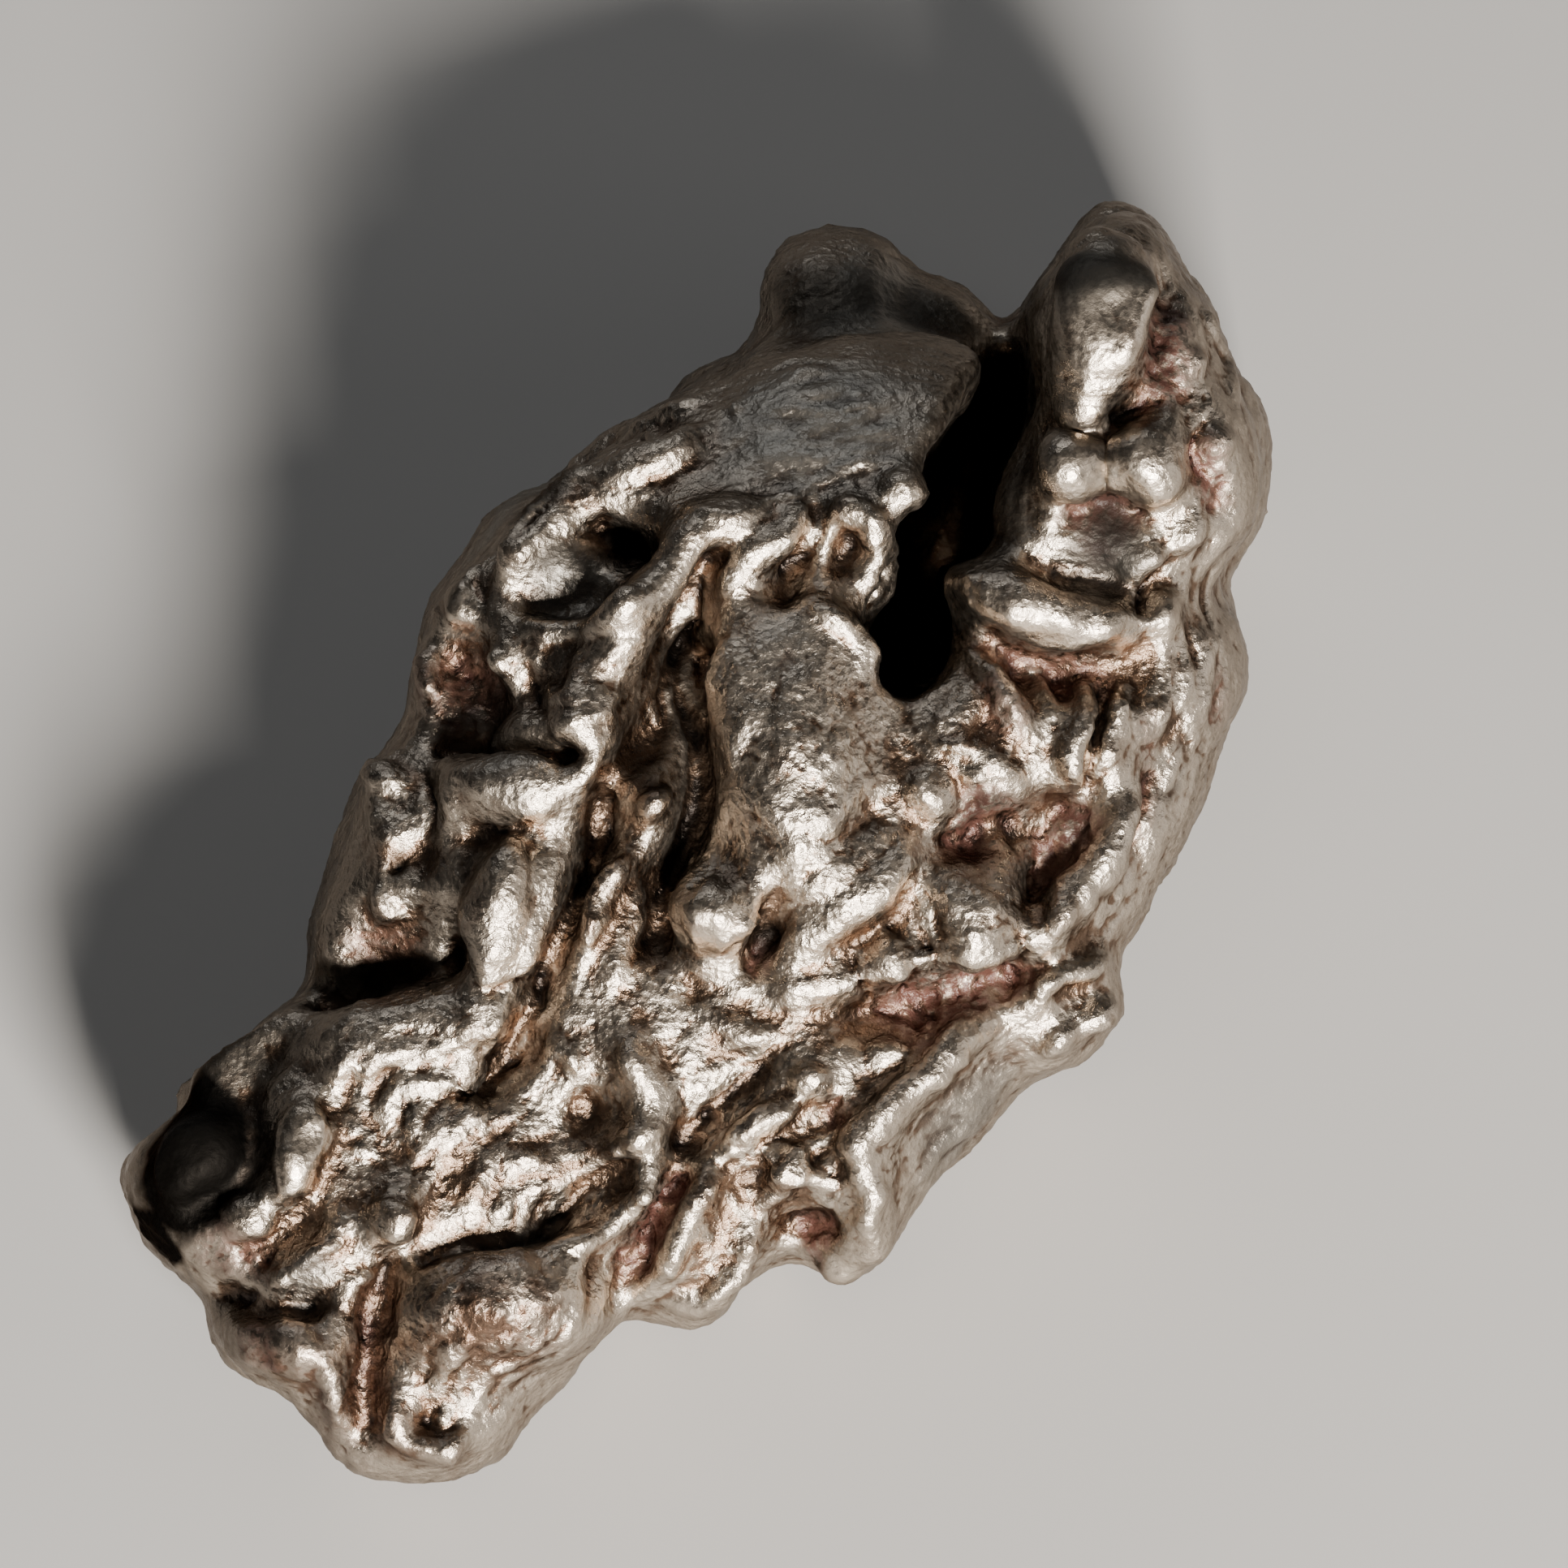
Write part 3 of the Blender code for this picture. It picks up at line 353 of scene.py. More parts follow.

# Painted shadow and shade: black laid in the slots, the cleft and the grooves where shadow falls, on
# the left knob, the back lobes and the horn's sides turned from the light, and on darker rust pits:
# places, width, strength
PAINTED_SHADOWS_AND_DARK_PITS = [
    ([(-23.0, -13.2)], 6.4, 2.0),
    ([(-23.6, -15.2)], 6.4, 2.0),
    ([(-24.2, -17.4)], 4.0, 2.0),
    ([(15.2, 18.8), (14.6, 16.8), (14.2, 15.2)], 1.6, 0.5),
    ([(6.4, -1.6), (8.8, -0.9)], 1.4, 0.5),
    ([(11.0, -0.8), (11.0, -2.6), (9.8, -4.2)], 1.8, 0.5),
    ([(1.6, 18.6)], 7.0, 0.8),
    ([(6.0, 17.8)], 4.6, 0.8),
    ([(-18.4, -8.2), (-16.0, -7.5), (-13.0, -7.1)], 2.4, 0.9),
    ([(-6.2, 9.3)], 2.6, 0.8),
    ([(-13.4, 1.6), (-8.6, 1.3)], 1.6, 0.4),
    ([(-10.8, 9.7), (-9.4, 10.9), (-7.6, 12.3)], 1.7, 0.7),
    ([(-9.8, 7.9), (-8.6, 8.5), (-7.2, 9.0)], 1.6, 0.8),
    ([(-22.4, -11.6), (-19.6, -10.0)], 2.4, 0.7),
    ([(7.0, 9.0), (7.6, 13.0), (8.4, 16.6)], 3.4, 1.0),
    ([(4.6, 5.0), (5.4, 8.6)], 3.2, 1.0),
    ([(-14.6, -2.9)], 1.6, 0.8),
    ([(12.4, 9.4)], 4.4, 0.8),
    ([(8.2, 8.6), (8.8, 11.0), (9.4, 13.4)], 3.0, 0.8),
    ([(9.8, 19.4), (9.4, 16.0)], 2.8, 0.6),
    ([(12.3, 20.6), (12.1, 18.6)], 5.6, 0.85),
    ([(-12.5, -5.6), (-12.5, -7.0)], 1.2, 0.7),
    ([(-10.0, -17.3)], 2.4, 0.6),
    ([(-0.6, -5.4), (-1.1, -7.0)], 1.4, 0.8),
    ([(-3.0, 7.6), (-3.9, 5.0), (-4.0, 2.6), (-3.8, 0.4), (-3.6, -1.6), (-4.6, -3.8)], 1.8, 0.7),
    ([(-6.4, -0.6), (-7.6, -3.4), (-8.6, -5.8)], 1.0, 0.6),
]

# Where the metal is worn smooth: places, width, strength
SMOOTH = [
    ([(12.4, 21.0), (12.0, 18.0), (12.2, 15.5)], 5.5, 1.0),
    ([(12.5, 12.8)], 7.0, 1.0),
    ([(2.0, 19.0), (6.0, 18.2)], 6.0, 0.9),
    ([(-12.4, 8.0), (-12.9, 6.4)], 3.0, 0.9),
    ([(-22.8, -14.0)], 6.0, 0.9),
    ([(-20.5, -21.4), (-18.0, -22.0)], 3.6, 0.8),
    ([(-14.4, -25.6)], 4.0, 0.7),
    ([(-18.6, -12.4), (-19.3, -15.8)], 3.0, 0.8),
    ([(2.0, -18.6)], 3.0, 0.8),
    ([(-3.6, -19.8)], 3.0, 0.7),
    ([(-4.0, -4.6), (-2.0, -5.6)], 3.0, 0.7),
    ([(7.0, 7.2), (10.0, 6.2), (12.6, 5.6)], 3.0, 0.8),
    ([(14.9, 6.7)], 2.4, 0.8),
    ([(0.0, 4.4), (0.6, 0.6)], 8.0, 0.3),
    ([(-3.3, 9.0), (-5.6, 6.2), (-7.4, 3.4)], 3.0, 0.6),
]

# Where the flow has left the metal wrinkled: places, width, strength
WRINKLED = [
    ([(16.4, 9.0), (15.6, 4.0), (14.4, -1.0), (12.0, -6.0)], 5.0, 0.8),
    ([(7.6, -11.0), (5.4, -14.8)], 5.0, 0.6),
    ([(-1.0, 13.0), (4.0, 14.6)], 9.0, 0.9),
    ([(-17.0, -13.0), (-12.0, -11.5), (-8.0, -10.5)], 10.0, 0.9),
    ([(-13.0, -15.0), (-8.0, -13.5)], 7.0, 0.9),
    ([(-3.0, -10.0), (-1.0, -12.5), (0.0, -16.0)], 8.0, 1.0),
    ([(-12.0, -20.0), (-10.6, -23.4)], 8.0, 1.0),
    ([(-4.5, -1.0), (-6.0, -6.0), (-5.5, -9.0)], 5.0, 0.6),
    ([(6.5, 3.5), (8.0, 0.5), (7.5, -4.5)], 6.0, 0.7),
    ([(-15.5, -1.0)], 5.0, 0.7),
    ([(-12.0, 3.5)], 5.0, 0.6),
    ([(-9.0, 9.8), (-5.0, 12.4)], 3.0, 0.5),
]

# Where the metal is coarse and granular: places, width, strength
GRANULAR = [
    ([(1.0, 4.0), (1.4, 0.0), (1.4, -3.6)], 8.0, 1.0),
    ([(-12.0, -19.6), (-10.6, -23.0)], 8.0, 0.8),
    ([(16.6, 4.0), (15.8, 0.0), (14.0, -5.0)], 5.0, 0.7),
    ([(4.4, -12.6), (3.0, -16.0)], 4.0, 0.8),
    ([(7.4, -4.6)], 4.4, 1.0),
    ([(3.0, -8.6), (8.6, -7.2)], 4.0, 1.0),
    ([(-5.6, 5.6), (-7.2, 2.4)], 3.6, 0.7),
    ([(0.0, -14.5), (-3.0, -18.0)], 8.0, 0.8),
    ([(11.6, 10.4), (13.8, 10.2)], 3.0, 0.8),
]

# Ways in which the metal flowed: the place where each shows most, its reach and its slope in degrees
FLOWS = [
    ((-15.0, -15.0), 12.0, 48.0),
    ((1.0, 13.5), 7.0, 8.0),
    ((14.0, 9.0), 9.0, 80.0),
    ((-7.0, 0.0), 8.0, 70.0),
    ((2.0, -10.0), 9.0, 35.0),
]
FLOW_WIDTH = 1.15
FLOW_STRETCH = 3.6
FLOW_DEPTH = 1.4
BROAD_FLOW_SHARE = 0.65


class MeteoriteSettings(bpy.types.PropertyGroup):
    """Sizes of the skin's relief and colours of its finish."""

    fineness: FloatProperty(
        name="Fineness", description="Size of the skin's faces",
        default=0.25 * MM, unit="LENGTH",
    )
    flow_height: FloatProperty(
        name="Flow lines", description="Height of the flow wrinkles",
        default=0.32 * MM, unit="LENGTH",
    )
    lump_height: FloatProperty(
        name="Lumps", description="Height of the small lumps between them",
        default=0.1 * MM, unit="LENGTH",
    )
    grain_height: FloatProperty(
        name="Grain", description="Height of the finest modelled grain",
        default=0.08 * MM, unit="LENGTH",
    )
    pit_depth: FloatProperty(
        name="Pits", description="Depth of the pits in the rust",
        default=0.4 * MM, unit="LENGTH",
    )
    bright_metal: FloatVectorProperty(
        name="Bright metal", description="Worn, bare metal on the heights", subtype="COLOR", size=4,
        default=(0.52, 0.445, 0.365, 1.0), min=0.0, max=1.0,
    )
    bronze: FloatVectorProperty(
        name="Bronze", description="Tarnish in the hollows", subtype="COLOR", size=4,
        default=(0.17, 0.108, 0.07, 1.0), min=0.0, max=1.0,
    )
    # Painted shade: the colour laid on the sides turned from the key light and on the steep sides
    dark: FloatVectorProperty(
        name="Dark", description="Unworn metal on the sides turned away", subtype="COLOR", size=4,
        default=(0.05, 0.042, 0.034, 1.0), min=0.0, max=1.0,
    )
    # Painted shade: the dark laid at the bottom of the deepest hollows and of the flow creases
    painted_crease_shade: FloatVectorProperty(
        name="Deep", description="Dirt at the bottom of the deepest creases", subtype="COLOR", size=4,
        default=(0.022, 0.014, 0.01, 1.0), min=0.0, max=1.0,
    )
    # Painted shadow: the black of the slots, the cleft, the shaded grooves and sides, and of the
    # darker rust pits
    painted_shadow_and_pit_black: FloatVectorProperty(
        name="Black", description="Soot on the blackened places", subtype="COLOR", size=4,
        default=(0.009, 0.008, 0.007, 1.0), min=0.0, max=1.0,
    )
    rust: FloatVectorProperty(
        name="Rust", description="Rust in the pits", subtype="COLOR", size=4,
        default=(0.1, 0.042, 0.032, 1.0), min=0.0, max=1.0,
    )
    # Partly painted shade: this dark colour also stands for the shade on the plateau, the top of the
    # horn, the back lobes and the left knob
    oxide: FloatVectorProperty(
        name="Oxide", description="Dull dark oxide on the sheltered metal", subtype="COLOR", size=4,
        default=(0.13, 0.126, 0.115, 1.0), min=0.0, max=1.0,
    )


class StageSettings(bpy.types.PropertyGroup):
    """Colour of the floor and strength of the lights."""

    floor_colour: FloatVectorProperty(
        name="Floor", description="Colour of the pale floor", subtype="COLOR", size=4,
        default=(0.4, 0.392, 0.385, 1.0), min=0.0, max=1.0,
    )
    key_power: FloatProperty(
        name="Key light", description="Warm light above the lower edge of the face",
        default=5.6, unit="POWER",
    )
    side_power: FloatProperty(
        name="Side light", description="Weak warm light on the right",
        default=0.26, unit="POWER",
    )
    back_power: FloatProperty(
        name="Back light", description="Weak cool light low behind the horn",
        default=0.4, unit="POWER",
    )
    surroundings: FloatProperty(
        name="Surroundings", description="Brightness all round", default=0.04
    )


def face_axes():
    """The face's right, up and outward directions in the row frame, one to a row."""
    return np.array(Matrix.Rotation(FACE_SLOPE, 3, "X").transposed())


def to_face(points):
    """Row frame in metres to the face's millimetres, as the eye sees them."""
    seen = (points - np.array(FACE_MIDDLE)) @ face_axes().T / MM
    seen[:, :2] /= 1.0 - seen[:, 2:] / EYE_DISTANCE
    return seen


def to_row(seen):
    """The face's millimetres back to the row frame in metres."""
    points = seen.copy()
    points[:, :2] *= 1.0 - points[:, 2:] / EYE_DISTANCE
    return points @ face_axes() * MM + np.array(FACE_MIDDLE)


def points_of(mesh):
    """The places of the mesh's vertices, one to a row."""
    co = np.empty(len(mesh.vertices) * 3)
    mesh.vertices.foreach_get("co", co)
    return co.reshape(-1, 3)


def normals_of(mesh):
    """The unit normals of the mesh's vertices, one to a row."""
    normals = np.empty(len(mesh.vertices) * 3, np.float32)
    mesh.vertex_normals.foreach_get("vector", normals)
    return normals.reshape(-1, 3).astype(float)


def set_points(mesh, points):
    """Moves the mesh's vertices to the given places."""
    mesh.vertices.foreach_set("co", points.ravel())
    mesh.update()


def apply_modifiers(ob):
    """Bakes the object's modifiers into its mesh."""
    graph = bpy.context.evaluated_depsgraph_get()
    made = bpy.data.meshes.new_from_object(ob.evaluated_get(graph))
    old = ob.data
    ob.modifiers.clear()
    ob.data = made
    bpy.data.meshes.remove(old)


def copied_lump():
    """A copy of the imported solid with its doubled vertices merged, in the face's millimetres."""
    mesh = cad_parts[NODE].data.copy()
    whole = bmesh.new()
    whole.from_mesh(mesh)
    bmesh.ops.remove_doubles(whole, verts=whole.verts, dist=1e-6)
    whole.to_mesh(mesh)
    whole.free()
    ob = bpy.data.objects.new("meteorite_skin", mesh)
    bpy.context.scene.collection.objects.link(ob)
    set_points(mesh, to_face(points_of(mesh)))
    return ob


def refine(ob, voxel, softening):
    """Gives the lump an even fine mesh and softens its facets."""
    remesh = ob.modifiers.new("refine", "REMESH")
    remesh.mode = "VOXEL"
    remesh.voxel_size = voxel
    soften = ob.modifiers.new("soften", "SMOOTH")
    soften.factor = 0.5
    soften.iterations = softening
    apply_modifiers(ob)


def thin_out_hidden(ob, most):
    """Takes triangles from the hidden side until the skin has no more than the given number."""
    mesh = ob.data
    faces = sum(len(p.vertices) - 2 for p in mesh.polygons)
    away = np.flatnonzero(normals_of(mesh)[:, 2] < HIDDEN_BELOW)
    ob.vertex_groups.new(name="hidden").add(away.tolist(), 1.0, "REPLACE")
    decimate = ob.modifiers.new("thin out", "DECIMATE")
    decimate.ratio = min(1.0, most / faces)
    decimate.vertex_group = "hidden"
    apply_modifiers(ob)
    ob.vertex_groups.clear()


def surface_of(ob):
    """The object's faces, ready to be hit by rays."""
    return BVHTree.FromPolygons(
        [v.co for v in ob.data.vertices], [p.vertices for p in ob.data.polygons]
    )


def on_surface(tree, place):
    """The point of the surface that shows at a place of the face."""
    hit = tree.ray_cast(Vector((place[0], place[1], 60.0)), Vector((0.0, 0.0, -1.0)))[0]
    if hit is None:
        hit = tree.find_nearest(Vector((place[0], place[1], 0.0)))[0]
    return np.array(hit)


def curve_through(places):
    """Close places on a smooth curve through the given ones."""
    if len(places) == 1:
        return np.array(places, float)
    knots = np.array([places[0], *places, places[-1]], float)
    curve = [knots[1]]
    for before, start, end, after in zip(knots, knots[1:], knots[2:], knots[3:]):
        steps = max(1, round(np.linalg.norm(end - start) / STEP_ALONG))
        for t in np.arange(1, steps + 1) / steps:
            bend = (2 * before - 5 * start + 4 * end - after) * t**2
            bend += (3 * start - before - 3 * end + after) * t**3
            curve.append(start + 0.5 * ((end - before) * t + bend))
    return np.array(curve)


def path_on_surface(tree, places):
    """A smooth curve through places of the face, laid on the surface."""
    return np.array([on_surface(tree, place) for place in curve_through(places)])


def distance_from(points, path):
    """Distance of each point from the path, and the place of its nearest point along it, 0 to 1."""
    if len(path) == 1:
        return np.linalg.norm(points - path[0], axis=1), np.full(len(points), 0.5)
    nearest = np.full(len(points), np.inf)
    place = np.zeros(len(points))
    for i in range(len(path) - 1):
        along = path[i + 1] - path[i]
        share = np.clip((points - path[i]) @ along / max(along @ along, 1e-9), 0.0, 1.0)
        gap = np.linalg.norm(points - path[i] - share[:, None] * along, axis=1)
        closer = gap < nearest
        nearest[closer] = gap[closer]
        place[closer] = (i + share[closer]) / (len(path) - 1)
    return nearest, place


def raised(points, path, width, height, profile):
    """How far each point rises: all of the height on the path, nothing past half the width from it.

    A path gets lower and narrower towards its ends.
    """
    rise = np.zeros(len(points))
    half = width / 2
    near = np.all((points > path.min(0) - half) & (points < path.max(0) + half), axis=1)
    gap, place = distance_from(points[near], path)
    taper = 1.0
    if len(path) > 1:
        from_end = np.clip(np.minimum(place, 1.0 - place) / TAPER_REACH, 0.0, 1.0)
        taper = END_SHARE + (1.0 - END_SHARE) * from_end**TAPER_POWER
    share = np.clip(gap / (half * taper), 0.0, 1.0)
    rise[near] = height * taper * profile(share)
    return rise


def dome(share):
    """Full, with a soft crease at its foot."""
    return (1.0 - share**2) ** 1.6


def valley(share):
    """Sharp at its bottom, with soft banks."""
    return (1.0 - share) ** 1.5


def bell(share):
    """Full over a broad middle, fading out towards its edge."""
    return (1.0 - share**3) ** 2


def sum_of(tree, points, forms):
    """How far all the forms together raise each point."""
    total = np.zeros(len(points))
    for places, width, height in forms:
        profile = dome if height > 0 else valley
        total += raised(points, path_on_surface(tree, places), width, height, profile)
    return total


def strongest_of(tree, points, spots):
    """The strength of the strongest of the spots at each point."""
    most = np.zeros(len(points))
    for places, width, strength in spots:
        path = path_on_surface(tree, places)
        most = np.maximum(most, raised(points, path, width, strength, bell))
    return most


def noise_at(points, size, seed):
    """Smooth noise about -1 to 1 with lumps of the given size."""
    return np.array([noise.noise(Vector(p)) for p in points / size + seed])


def shifted(points, size, reach, seed):
    """The points moved by smooth noise, so that what is drawn by them wavers."""
    moves = np.array([noise.noise_vector(Vector(p)) for p in points / size + seed])
    return points + reach * moves


def waver(points):
    """The points moved by all the wavering noises in turn."""
    noise.seed_set(WAVER_SEED)
    for size, reach, seed in WAVERS:
        points = shifted(points, size, reach, seed)
    return points


def facing_away(mesh):
    """1 on the hidden sides and back, 0 on all that the face shows."""
    return np.clip((HIDDEN_BELOW - normals_of(mesh)[:, 2]) / HIDDEN_BLEND, 0.0, 1.0)


def near_floor(mesh):
    """1 where the lump meets the floor, 0 a few millimetres above it."""
    return np.clip(1.0 - to_row(points_of(mesh))[:, 2] / RESTING_HEIGHT, 0.0, 1.0)


def flow_wrinkles(points, width):
    """Rounded folds along the way that the metal flowed, with creases between, about -0.5 to 0.5."""
    total = np.zeros(len(points))
    weights = np.full(len(points), 1e-6)
    for place, reach, degrees in FLOWS:
        weight = np.exp(-((np.hypot(*(points[:, :2] - place).T) / reach) ** 2))
        way = np.array([math.cos(math.radians(degrees)), math.sin(math.radians(degrees))])
        along = points[:, :2] @ way / (width * FLOW_STRETCH)
        across = points[:, :2] @ np.array([-way[1], way[0]]) / width
        depth = points[:, 2] / (width * FLOW_DEPTH)
        spots = np.column_stack([along, across, depth]) + degrees
        total += weight * [2.0 * abs(noise.noise(Vector(s))) - 0.5 for s in spots]
        weights += weight
    return total / weights


def folds_and_creases(points):
    """Broad flow wrinkles with narrower ones on them."""
    broad = flow_wrinkles(points, FLOW_WIDTH)
    narrow = flow_wrinkles(points, FLOW_WIDTH / 2)
    return BROAD_FLOW_SHARE * broad + (1.0 - BROAD_FLOW_SHARE) * narrow


def pits(points, size, seed):
    """Round pits of about the given size: 0 between them and -1 at the bottom of each."""
    gap = np.array([noise.voronoi(Vector(p))[0][0] for p in points / size + seed])
    return -np.clip(1.0 - gap / 0.45, 0.0, 1.0) ** 1.2


def neighbour_average(values, edges, count):
    """Mean of each vertex's neighbours' values."""
    total = np.empty_like(values)
    for axis in range(values.shape[1]):
        column = values[:, axis]
        total[:, axis] = np.bincount(edges[:, 0], column[edges[:, 1]], len(values))
        total[:, axis] += np.bincount(edges[:, 1], column[edges[:, 0]], len(values))
    return total / count[:, None]


def smoothed(mesh, rounds):
    """The vertices' places, averaged over surroundings that grow with the rounds."""
    edges = np.empty(len(mesh.edges) * 2, np.int32)
    mesh.edges.foreach_get("vertices", edges)
    edges = edges.reshape(-1, 2)
    smooth = points_of(mesh)
    count = np.bincount(edges.ravel(), minlength=len(smooth)).astype(float)
    for _ in range(rounds):
        smooth = 0.5 * smooth + 0.5 * neighbour_average(smooth, edges, count)
    return smooth


def standing_out(mesh, rounds):
    """How far each vertex stands out of its surroundings."""
    return np.einsum("ij,ij->i", points_of(mesh) - smoothed(mesh, rounds), normals_of(mesh))


def round_off(mesh, share, rounds):
    """Wears off edges and facets where the share is 1."""
    points = points_of(mesh)
    set_points(mesh, points + share[:, None] * (smoothed(mesh, rounds) - points))


def hollowness(mesh, rounds, full):
    """0 on a sharp height, 0.5 on the flat and 1 in a hollow."""
    return np.clip(0.5 - 0.5 * standing_out(mesh, rounds) / full, 0.0, 1.0)


def painted_shade_from_key(mesh):
    """Painted shade: 0 where the surface looks the way the key light falls from, up to 1 where it is
    turned from it, and up to a half on steep sides.
    """
    normals = normals_of(mesh)
    facing = normals @ np.array(KEY_LIT_WAY) / np.linalg.norm(KEY_LIT_WAY)
    turned = np.clip((KEY_LIT_UP_TO - facing) / 0.5, 0.0, 1.0)
    steep = 0.5 * np.clip((STEEP_BELOW - normals[:, 2]) / STEEP_BELOW, 0.0, 1.0)
    in_the_open = np.clip(0.6 + normals[:, 2], 0.0, 1.0)
    return np.maximum(turned, steep) * (0.5 + 0.5 * in_the_open)


def store(mesh, name, values):
    """Keeps a value for each vertex, which the material reads by its name."""
    attribute = mesh.attributes.new(name, "FLOAT", "POINT")
    attribute.data.foreach_set("value", values.astype(np.float32))


class Shading:
    """Builds a material's nodes in few words."""

    def __init__(self, name):
        self.material = bpy.data.materials.new(name)
        self.material.use_nodes = True
        self.tree = self.material.node_tree
        self.shader = self.tree.nodes["Principled BSDF"]
        self.place = self.add("ShaderNodeTexCoord").outputs["Object"]

    def add(self, kind, **settings):
        node = self.tree.nodes.new(kind)
        for name, value in settings.items():
            setattr(node, name, value)
        return node

    def set(self, socket, value):
        if isinstance(value, bpy.types.NodeSocket):
            self.tree.links.new(value, socket)
        else:
            socket.default_value = value

    def stored(self, name):
        return self.add("ShaderNodeAttribute", attribute_name=name).outputs["Fac"]

    def noise(self, size_mm, detail=2.0, roughness=0.5):
        node = self.add("ShaderNodeTexNoise")
        self.set(node.inputs["Vector"], self.place)
        node.inputs["Scale"].default_value = 1.0 / (size_mm * MM)
        node.inputs["Detail"].default_value = detail
        node.inputs["Roughness"].default_value = roughness
        return node.outputs["Fac"]

    def cells(self, size_mm):
        node = self.add("ShaderNodeTexVoronoi", feature="F1")
        self.set(node.inputs["Vector"], self.place)
        node.inputs["Scale"].default_value = 1.0 / (size_mm * MM)
        return node.outputs["Distance"]

    def ramp(self, value, low, high, to_low=0.0, to_high=1.0):
        node = self.add("ShaderNodeMapRange", clamp=True, interpolation_type="SMOOTHSTEP")
        self.set(node.inputs["Value"], value)
        node.inputs["From Min"].default_value = low
        node.inputs["From Max"].default_value = high
        node.inputs["To Min"].default_value = to_low
        node.inputs["To Max"].default_value = to_high
        return node.outputs["Result"]

    def combine(self, operation, first, second):
        node = self.add("ShaderNodeMath", operation=operation)
        self.set(node.inputs[0], first)
        self.set(node.inputs[1], second)
        return node.outputs[0]

    def add_up(self, first, second):
        return self.combine("ADD", first, second)

    def times(self, first, second):
        return self.combine("MULTIPLY", first, second)

    def mix(self, share, first, second):
        node = self.add("ShaderNodeMix", data_type="RGBA")
        self.set(node.inputs["Factor"], share)
        self.set(node.inputs["A"], first)
        self.set(node.inputs["B"], second)
        return node.outputs["Result"]


def meteoric_iron(settings):
    """Bare metal on the heights, bronze tarnish in the hollows, rust in the pits and dull oxide. Shade
    is painted darker on the sides turned from the key light, in the deepest hollows and creases and
    partly in the oxide's colour, and shadow is painted black in the slots and the cleft.
    """
    s = Shading(SLOT)
    broad = s.stored("broad_hollow")
    painted_shadow_and_pit_black = s.stored("painted_shadow_and_pit_black")
    mottle = s.noise(1.6, 4.0, 0.6)
    speckle = s.noise(0.35, 3.0, 0.6)
    tarnish = s.add_up(s.ramp(broad, 0.42, 0.85), s.ramp(s.stored("fine_hollow"), 0.5, 0.95, 0.0, 0.5))
    tarnish = s.add_up(tarnish, s.ramp(mottle, 0.42, 0.68, -0.1, 0.45))
    tarnish = s.ramp(s.add_up(tarnish, s.times(s.stored("tarnished"), 0.55)), 0.05, 0.95)
    rust = s.times(s.stored("rust"), s.ramp(speckle, 0.36, 0.58, 0.35, 1.0))
    # Oxide: duller metal, and a darker colour that is partly painted shade
    oxide = s.times(s.stored("oxide"), s.ramp(mottle, 0.3, 0.6, 0.7, 1.0))

    colour = s.mix(tarnish, tuple(settings.bright_metal), tuple(settings.bronze))
    # Painted shade on the sides turned from the key light and on the steep sides
    colour = s.mix(s.times(s.stored("turned"), 0.8), colour, tuple(settings.dark))
    # Painted shade at the bottom of the deepest hollows
    colour = s.mix(s.ramp(broad, 0.66, 0.95), colour, tuple(settings.painted_crease_shade))
    # Dull oxide, its dark colour partly painted shade
    colour = s.mix(oxide, colour, tuple(settings.oxide))
    colour = s.mix(rust, colour, tuple(settings.rust))
    # Painted shade along the bottoms of the flow creases
    colour = s.mix(s.times(s.stored("crease"), 0.7), colour, tuple(settings.painted_crease_shade))
    # Painted shadow and shade in black, and darker rust pits
    s.set(s.shader.inputs["Base Color"], s.mix(painted_shadow_and_pit_black, colour, tuple(settings.painted_shadow_and_pit_black)))

    dull = s.combine("MAXIMUM", rust, s.times(oxide, 0.7))
    s.set(s.shader.inputs["Metallic"], s.ramp(dull, 0.2, 1.0, 1.0, 0.6))
    rough = s.add_up(s.ramp(speckle, 0.3, 0.7, 0.27, 0.43), s.times(rust, 0.25))
    rough = s.add_up(rough, s.times(oxide, 0.08))
    s.set(s.shader.inputs["Roughness"], s.add_up(rough, s.times(painted_shadow_and_pit_black, 0.25)))

    bump = s.add("ShaderNodeBump")
    bump.inputs["Distance"].default_value = 0.1 * MM
    s.set(bump.inputs["Strength"], s.ramp(s.stored("rough"), 0.0, 1.0, 0.3, 0.8))
    s.set(bump.inputs["Height"], s.add_up(s.noise(0.42, 4.0, 0.7), s.times(s.cells(0.3), 0.5)))
    s.set(s.shader.inputs["Normal"], bump.outputs["Normal"])
    s.set(s.shader.inputs["Coat Normal"], bump.outputs["Normal"])
    s.set(s.shader.inputs["Coat Weight"], s.ramp(painted_shadow_and_pit_black, 0.0, 1.0, COAT, 0.0))
    s.shader.inputs["Coat Roughness"].default_value = COAT_ROUGHNESS
    s.shader.inputs["Specular Tint"].default_value = EDGE_TINT
    return s.material


def pale_floor(settings):
    """A matt floor with a faint broad mottle."""
    s = Shading("pale_floor")
    shade = s.ramp(s.noise(40.0, 2.0), 0.3, 0.7, 0.0, 0.06)
    s.set(s.shader.inputs["Base Color"], s.mix(shade, tuple(settings.floor_colour), FLOOR_SHADE))
    s.shader.inputs["Roughness"].default_value = 0.7
    return s.material


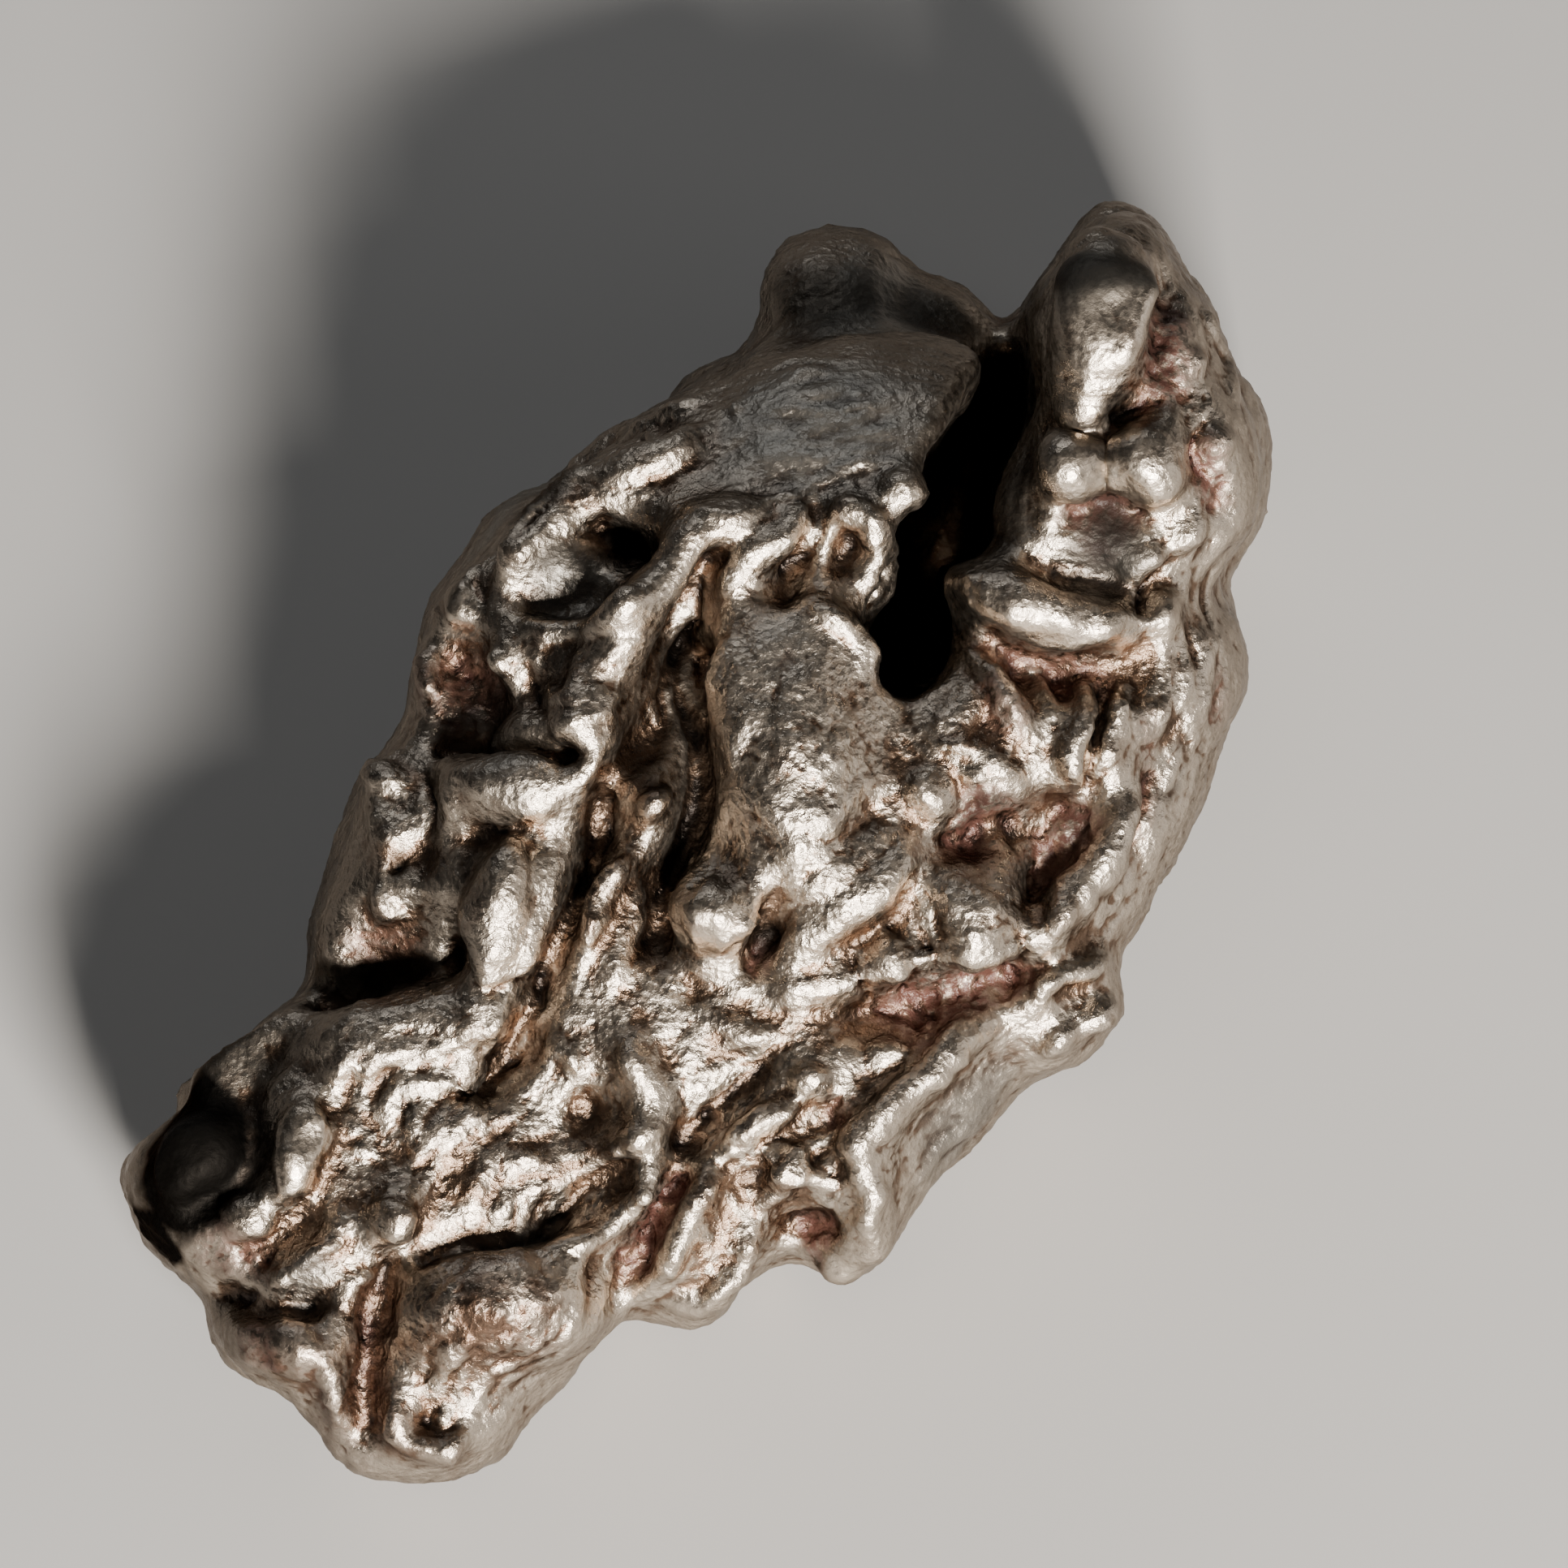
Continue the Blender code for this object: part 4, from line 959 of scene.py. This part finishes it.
def sculpt(skin, settings):
    """Raises all the relief of the skin, and stores what its material needs to know of each place."""
    mesh = skin.data
    tree = surface_of(skin)
    points = points_of(mesh)
    wavering = waver(points)
    away = facing_away(mesh)
    resting = away * near_floor(mesh)
    rust = strongest_of(tree, wavering, RUST)
    coarse = strongest_of(tree, wavering, GRANULAR)
    wrinkled = np.maximum(strongest_of(tree, wavering, WRINKLED), FLOW_HIDDEN * away)
    calm = 1.0 - CALMING * strongest_of(tree, wavering, SMOOTH)
    flow_height = settings.flow_height / MM
    lump_height = settings.lump_height / MM
    grain_height = settings.grain_height / MM
    pit_depth = settings.pit_depth / MM

    rise = sum_of(tree, wavering, FINE_FORMS)
    rise *= 1.0 + FORM_VARIATION * noise_at(points, *FORM_NOISE)
    flow = folds_and_creases(wavering)
    rise += calm * flow_height * (FLOW_EVERYWHERE + wrinkled) * flow
    lumps = noise_at(points, *BROAD_LUMPS) + 0.5 * noise_at(points, *SMALL_LUMPS)
    rise += (calm + LUMPS_HIDDEN * away) * lump_height * lumps
    rise += away * lump_height * HOLLOWS_HIDDEN * noise_at(points, *HIDDEN_HOLLOWS)
    set_points(mesh, points + normals_of(mesh) * (rise * (1.0 - resting))[:, None])
    # Painted shade: how deep in a flow crease each place lies
    crease = np.clip((-0.2 - flow) / 0.25, 0.0, 1.0) * np.clip(0.2 + wrinkled, 0.0, 1.0)
    store(mesh, "crease", crease)
    # Painted shade: how far each place is turned from the key light, or steep
    store(mesh, "turned", painted_shade_from_key(mesh))

    grain = np.abs(noise_at(wavering, *COARSE_GRAIN)) + 0.5 * np.abs(noise_at(points, *FINE_GRAIN))
    grain_share = GRAIN_LEAST + (1.0 - GRAIN_LEAST) * calm + GRAIN_COARSE * coarse
    rise = grain_share * grain_height * (grain - 0.3)
    rise += pit_depth * (PITS_EVERYWHERE * calm + rust) * pits(wavering, *ROUND_PITS)
    rise += 0.5 * pit_depth * (0.5 * coarse + rust) * pits(points, *SMALL_PITS)
    set_points(mesh, points_of(mesh) + normals_of(mesh) * rise[:, None])
    # The broad hollows carry the bronze patina and, at their deepest, painted shade
    store(mesh, "broad_hollow", hollowness(mesh, *BROAD_CAVITY))
    store(mesh, "fine_hollow", hollowness(mesh, *FINE_CAVITY))
    store(mesh, "rough", calm)
    store(mesh, "rust", rust)
    # Dull oxide, partly painted shade
    store(mesh, "oxide", strongest_of(tree, wavering, OXIDE_AND_PAINTED_SHADE))
    # Painted shadow and shade, and darker rust pits
    store(mesh, "painted_shadow_and_pit_black", np.clip(strongest_of(tree, wavering, PAINTED_SHADOWS_AND_DARK_PITS), 0.0, 1.0))
    store(mesh, "tarnished", strongest_of(tree, wavering, TARNISHED))


def seat(mesh):
    """Takes the skin to the row frame and sets its lowest places on the floor."""
    row = to_row(points_of(mesh))
    lowest = row[:, 2].min()
    low_share = np.clip(1.0 - (row[:, 2] - lowest) / RESTING_HEIGHT, 0.0, 1.0)
    row[:, 2] = np.maximum(row[:, 2] - lowest * low_share, 0.0)
    set_points(mesh, row)


def area_light(name, light, power):
    """A soft box that looks at the face's middle."""
    way, size, colour = light
    data = bpy.data.lights.new(name, "AREA")
    data.shape = "RECTANGLE"
    data.size, data.size_y = size
    data.energy = power
    data.color = colour
    box = bpy.data.objects.new(name, data)
    bpy.context.scene.collection.objects.link(box)
    from_middle = Vector(np.array(way) @ face_axes()).normalized()
    box.location = FACE_MIDDLE + from_middle * LIGHT_DISTANCE
    box.rotation_euler = from_middle.to_track_quat("Z", "Y").to_euler()


def camera():
    """Sets the eye straight above the face."""
    data = bpy.data.cameras.new("camera")
    data.sensor_width = SENSOR
    data.lens = SENSOR * EYE_DISTANCE / PICTURE_WIDTH
    data.clip_start = 0.02
    data.clip_end = 20.0
    ob = bpy.data.objects.new("camera", data)
    bpy.context.scene.collection.objects.link(ob)
    ob.location = FACE_MIDDLE + Vector(face_axes()[2]) * EYE_DISTANCE * MM
    ob.rotation_euler = (FACE_SLOPE, 0.0, 0.0)
    bpy.context.scene.camera = ob


class MESH_OT_meteorite_skin(bpy.types.Operator):
    """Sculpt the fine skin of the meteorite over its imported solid"""

    bl_idname = "mesh.meteorite_skin"
    bl_label = "Meteorite skin"

    def execute(self, context):
        settings = context.scene.meteorite
        skin = copied_lump()
        refine(skin, settings.fineness / MM, SOFTENING)
        round_off(skin.data, facing_away(skin.data), HIDDEN_ROUNDS)
        thin_out_hidden(skin, MOST_TRIANGLES)
        sculpt(skin, settings)
        seat(skin.data)
        skin.data.materials.clear()
        skin.data.materials.append(meteoric_iron(settings))
        skin.data.shade_smooth()
        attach(skin, "root")
        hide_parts(NODE)
        return {"FINISHED"}


class SCENE_OT_meteorite_stage(bpy.types.Operator):
    """Lay the pale floor and set the lights and the camera"""

    bl_idname = "scene.meteorite_stage"
    bl_label = "Meteorite stage"

    def execute(self, context):
        settings = context.scene.meteorite_stage
        bpy.ops.mesh.primitive_plane_add(size=6.0, location=(0.0, 0.0, -0.00002))
        floor = context.object
        floor.name = "floor"
        floor.data.materials.append(pale_floor(settings))
        area_light("key", KEY_LIGHT, settings.key_power)
        area_light("side", SIDE_LIGHT, settings.side_power)
        area_light("back", BACK_LIGHT, settings.back_power)
        world = bpy.data.worlds.new("surroundings")
        world.use_nodes = True
        back = world.node_tree.nodes["Background"]
        back.inputs["Color"].default_value = (1.0, 0.98, 0.96, 1.0)
        back.inputs["Strength"].default_value = settings.surroundings
        context.scene.world = world
        camera()
        return {"FINISHED"}


class VIEW3D_PT_meteorite(bpy.types.Panel):
    """Lists the settings and the operators of the meteorite and its stage."""

    bl_label = "Iron meteorite"
    bl_space_type = "VIEW_3D"
    bl_region_type = "UI"
    bl_category = "Meteorite"

    def draw(self, context):
        layout = self.layout
        for name in MeteoriteSettings.__annotations__:
            layout.prop(context.scene.meteorite, name)
        layout.operator(MESH_OT_meteorite_skin.bl_idname)
        for name in StageSettings.__annotations__:
            layout.prop(context.scene.meteorite_stage, name)
        layout.operator(SCENE_OT_meteorite_stage.bl_idname)


CLASSES = (
    MeteoriteSettings,
    StageSettings,
    MESH_OT_meteorite_skin,
    SCENE_OT_meteorite_stage,
    VIEW3D_PT_meteorite,
)


def register():
    for cls in CLASSES:
        bpy.utils.register_class(cls)
    bpy.types.Scene.meteorite = PointerProperty(type=MeteoriteSettings)
    bpy.types.Scene.meteorite_stage = PointerProperty(type=StageSettings)


def unregister():
    del bpy.types.Scene.meteorite_stage
    del bpy.types.Scene.meteorite
    for cls in reversed(CLASSES):
        bpy.utils.unregister_class(cls)


def main():
    register()
    bpy.ops.mesh.meteorite_skin()
    bpy.ops.scene.meteorite_stage()


if __name__ == "__main__":
    main()
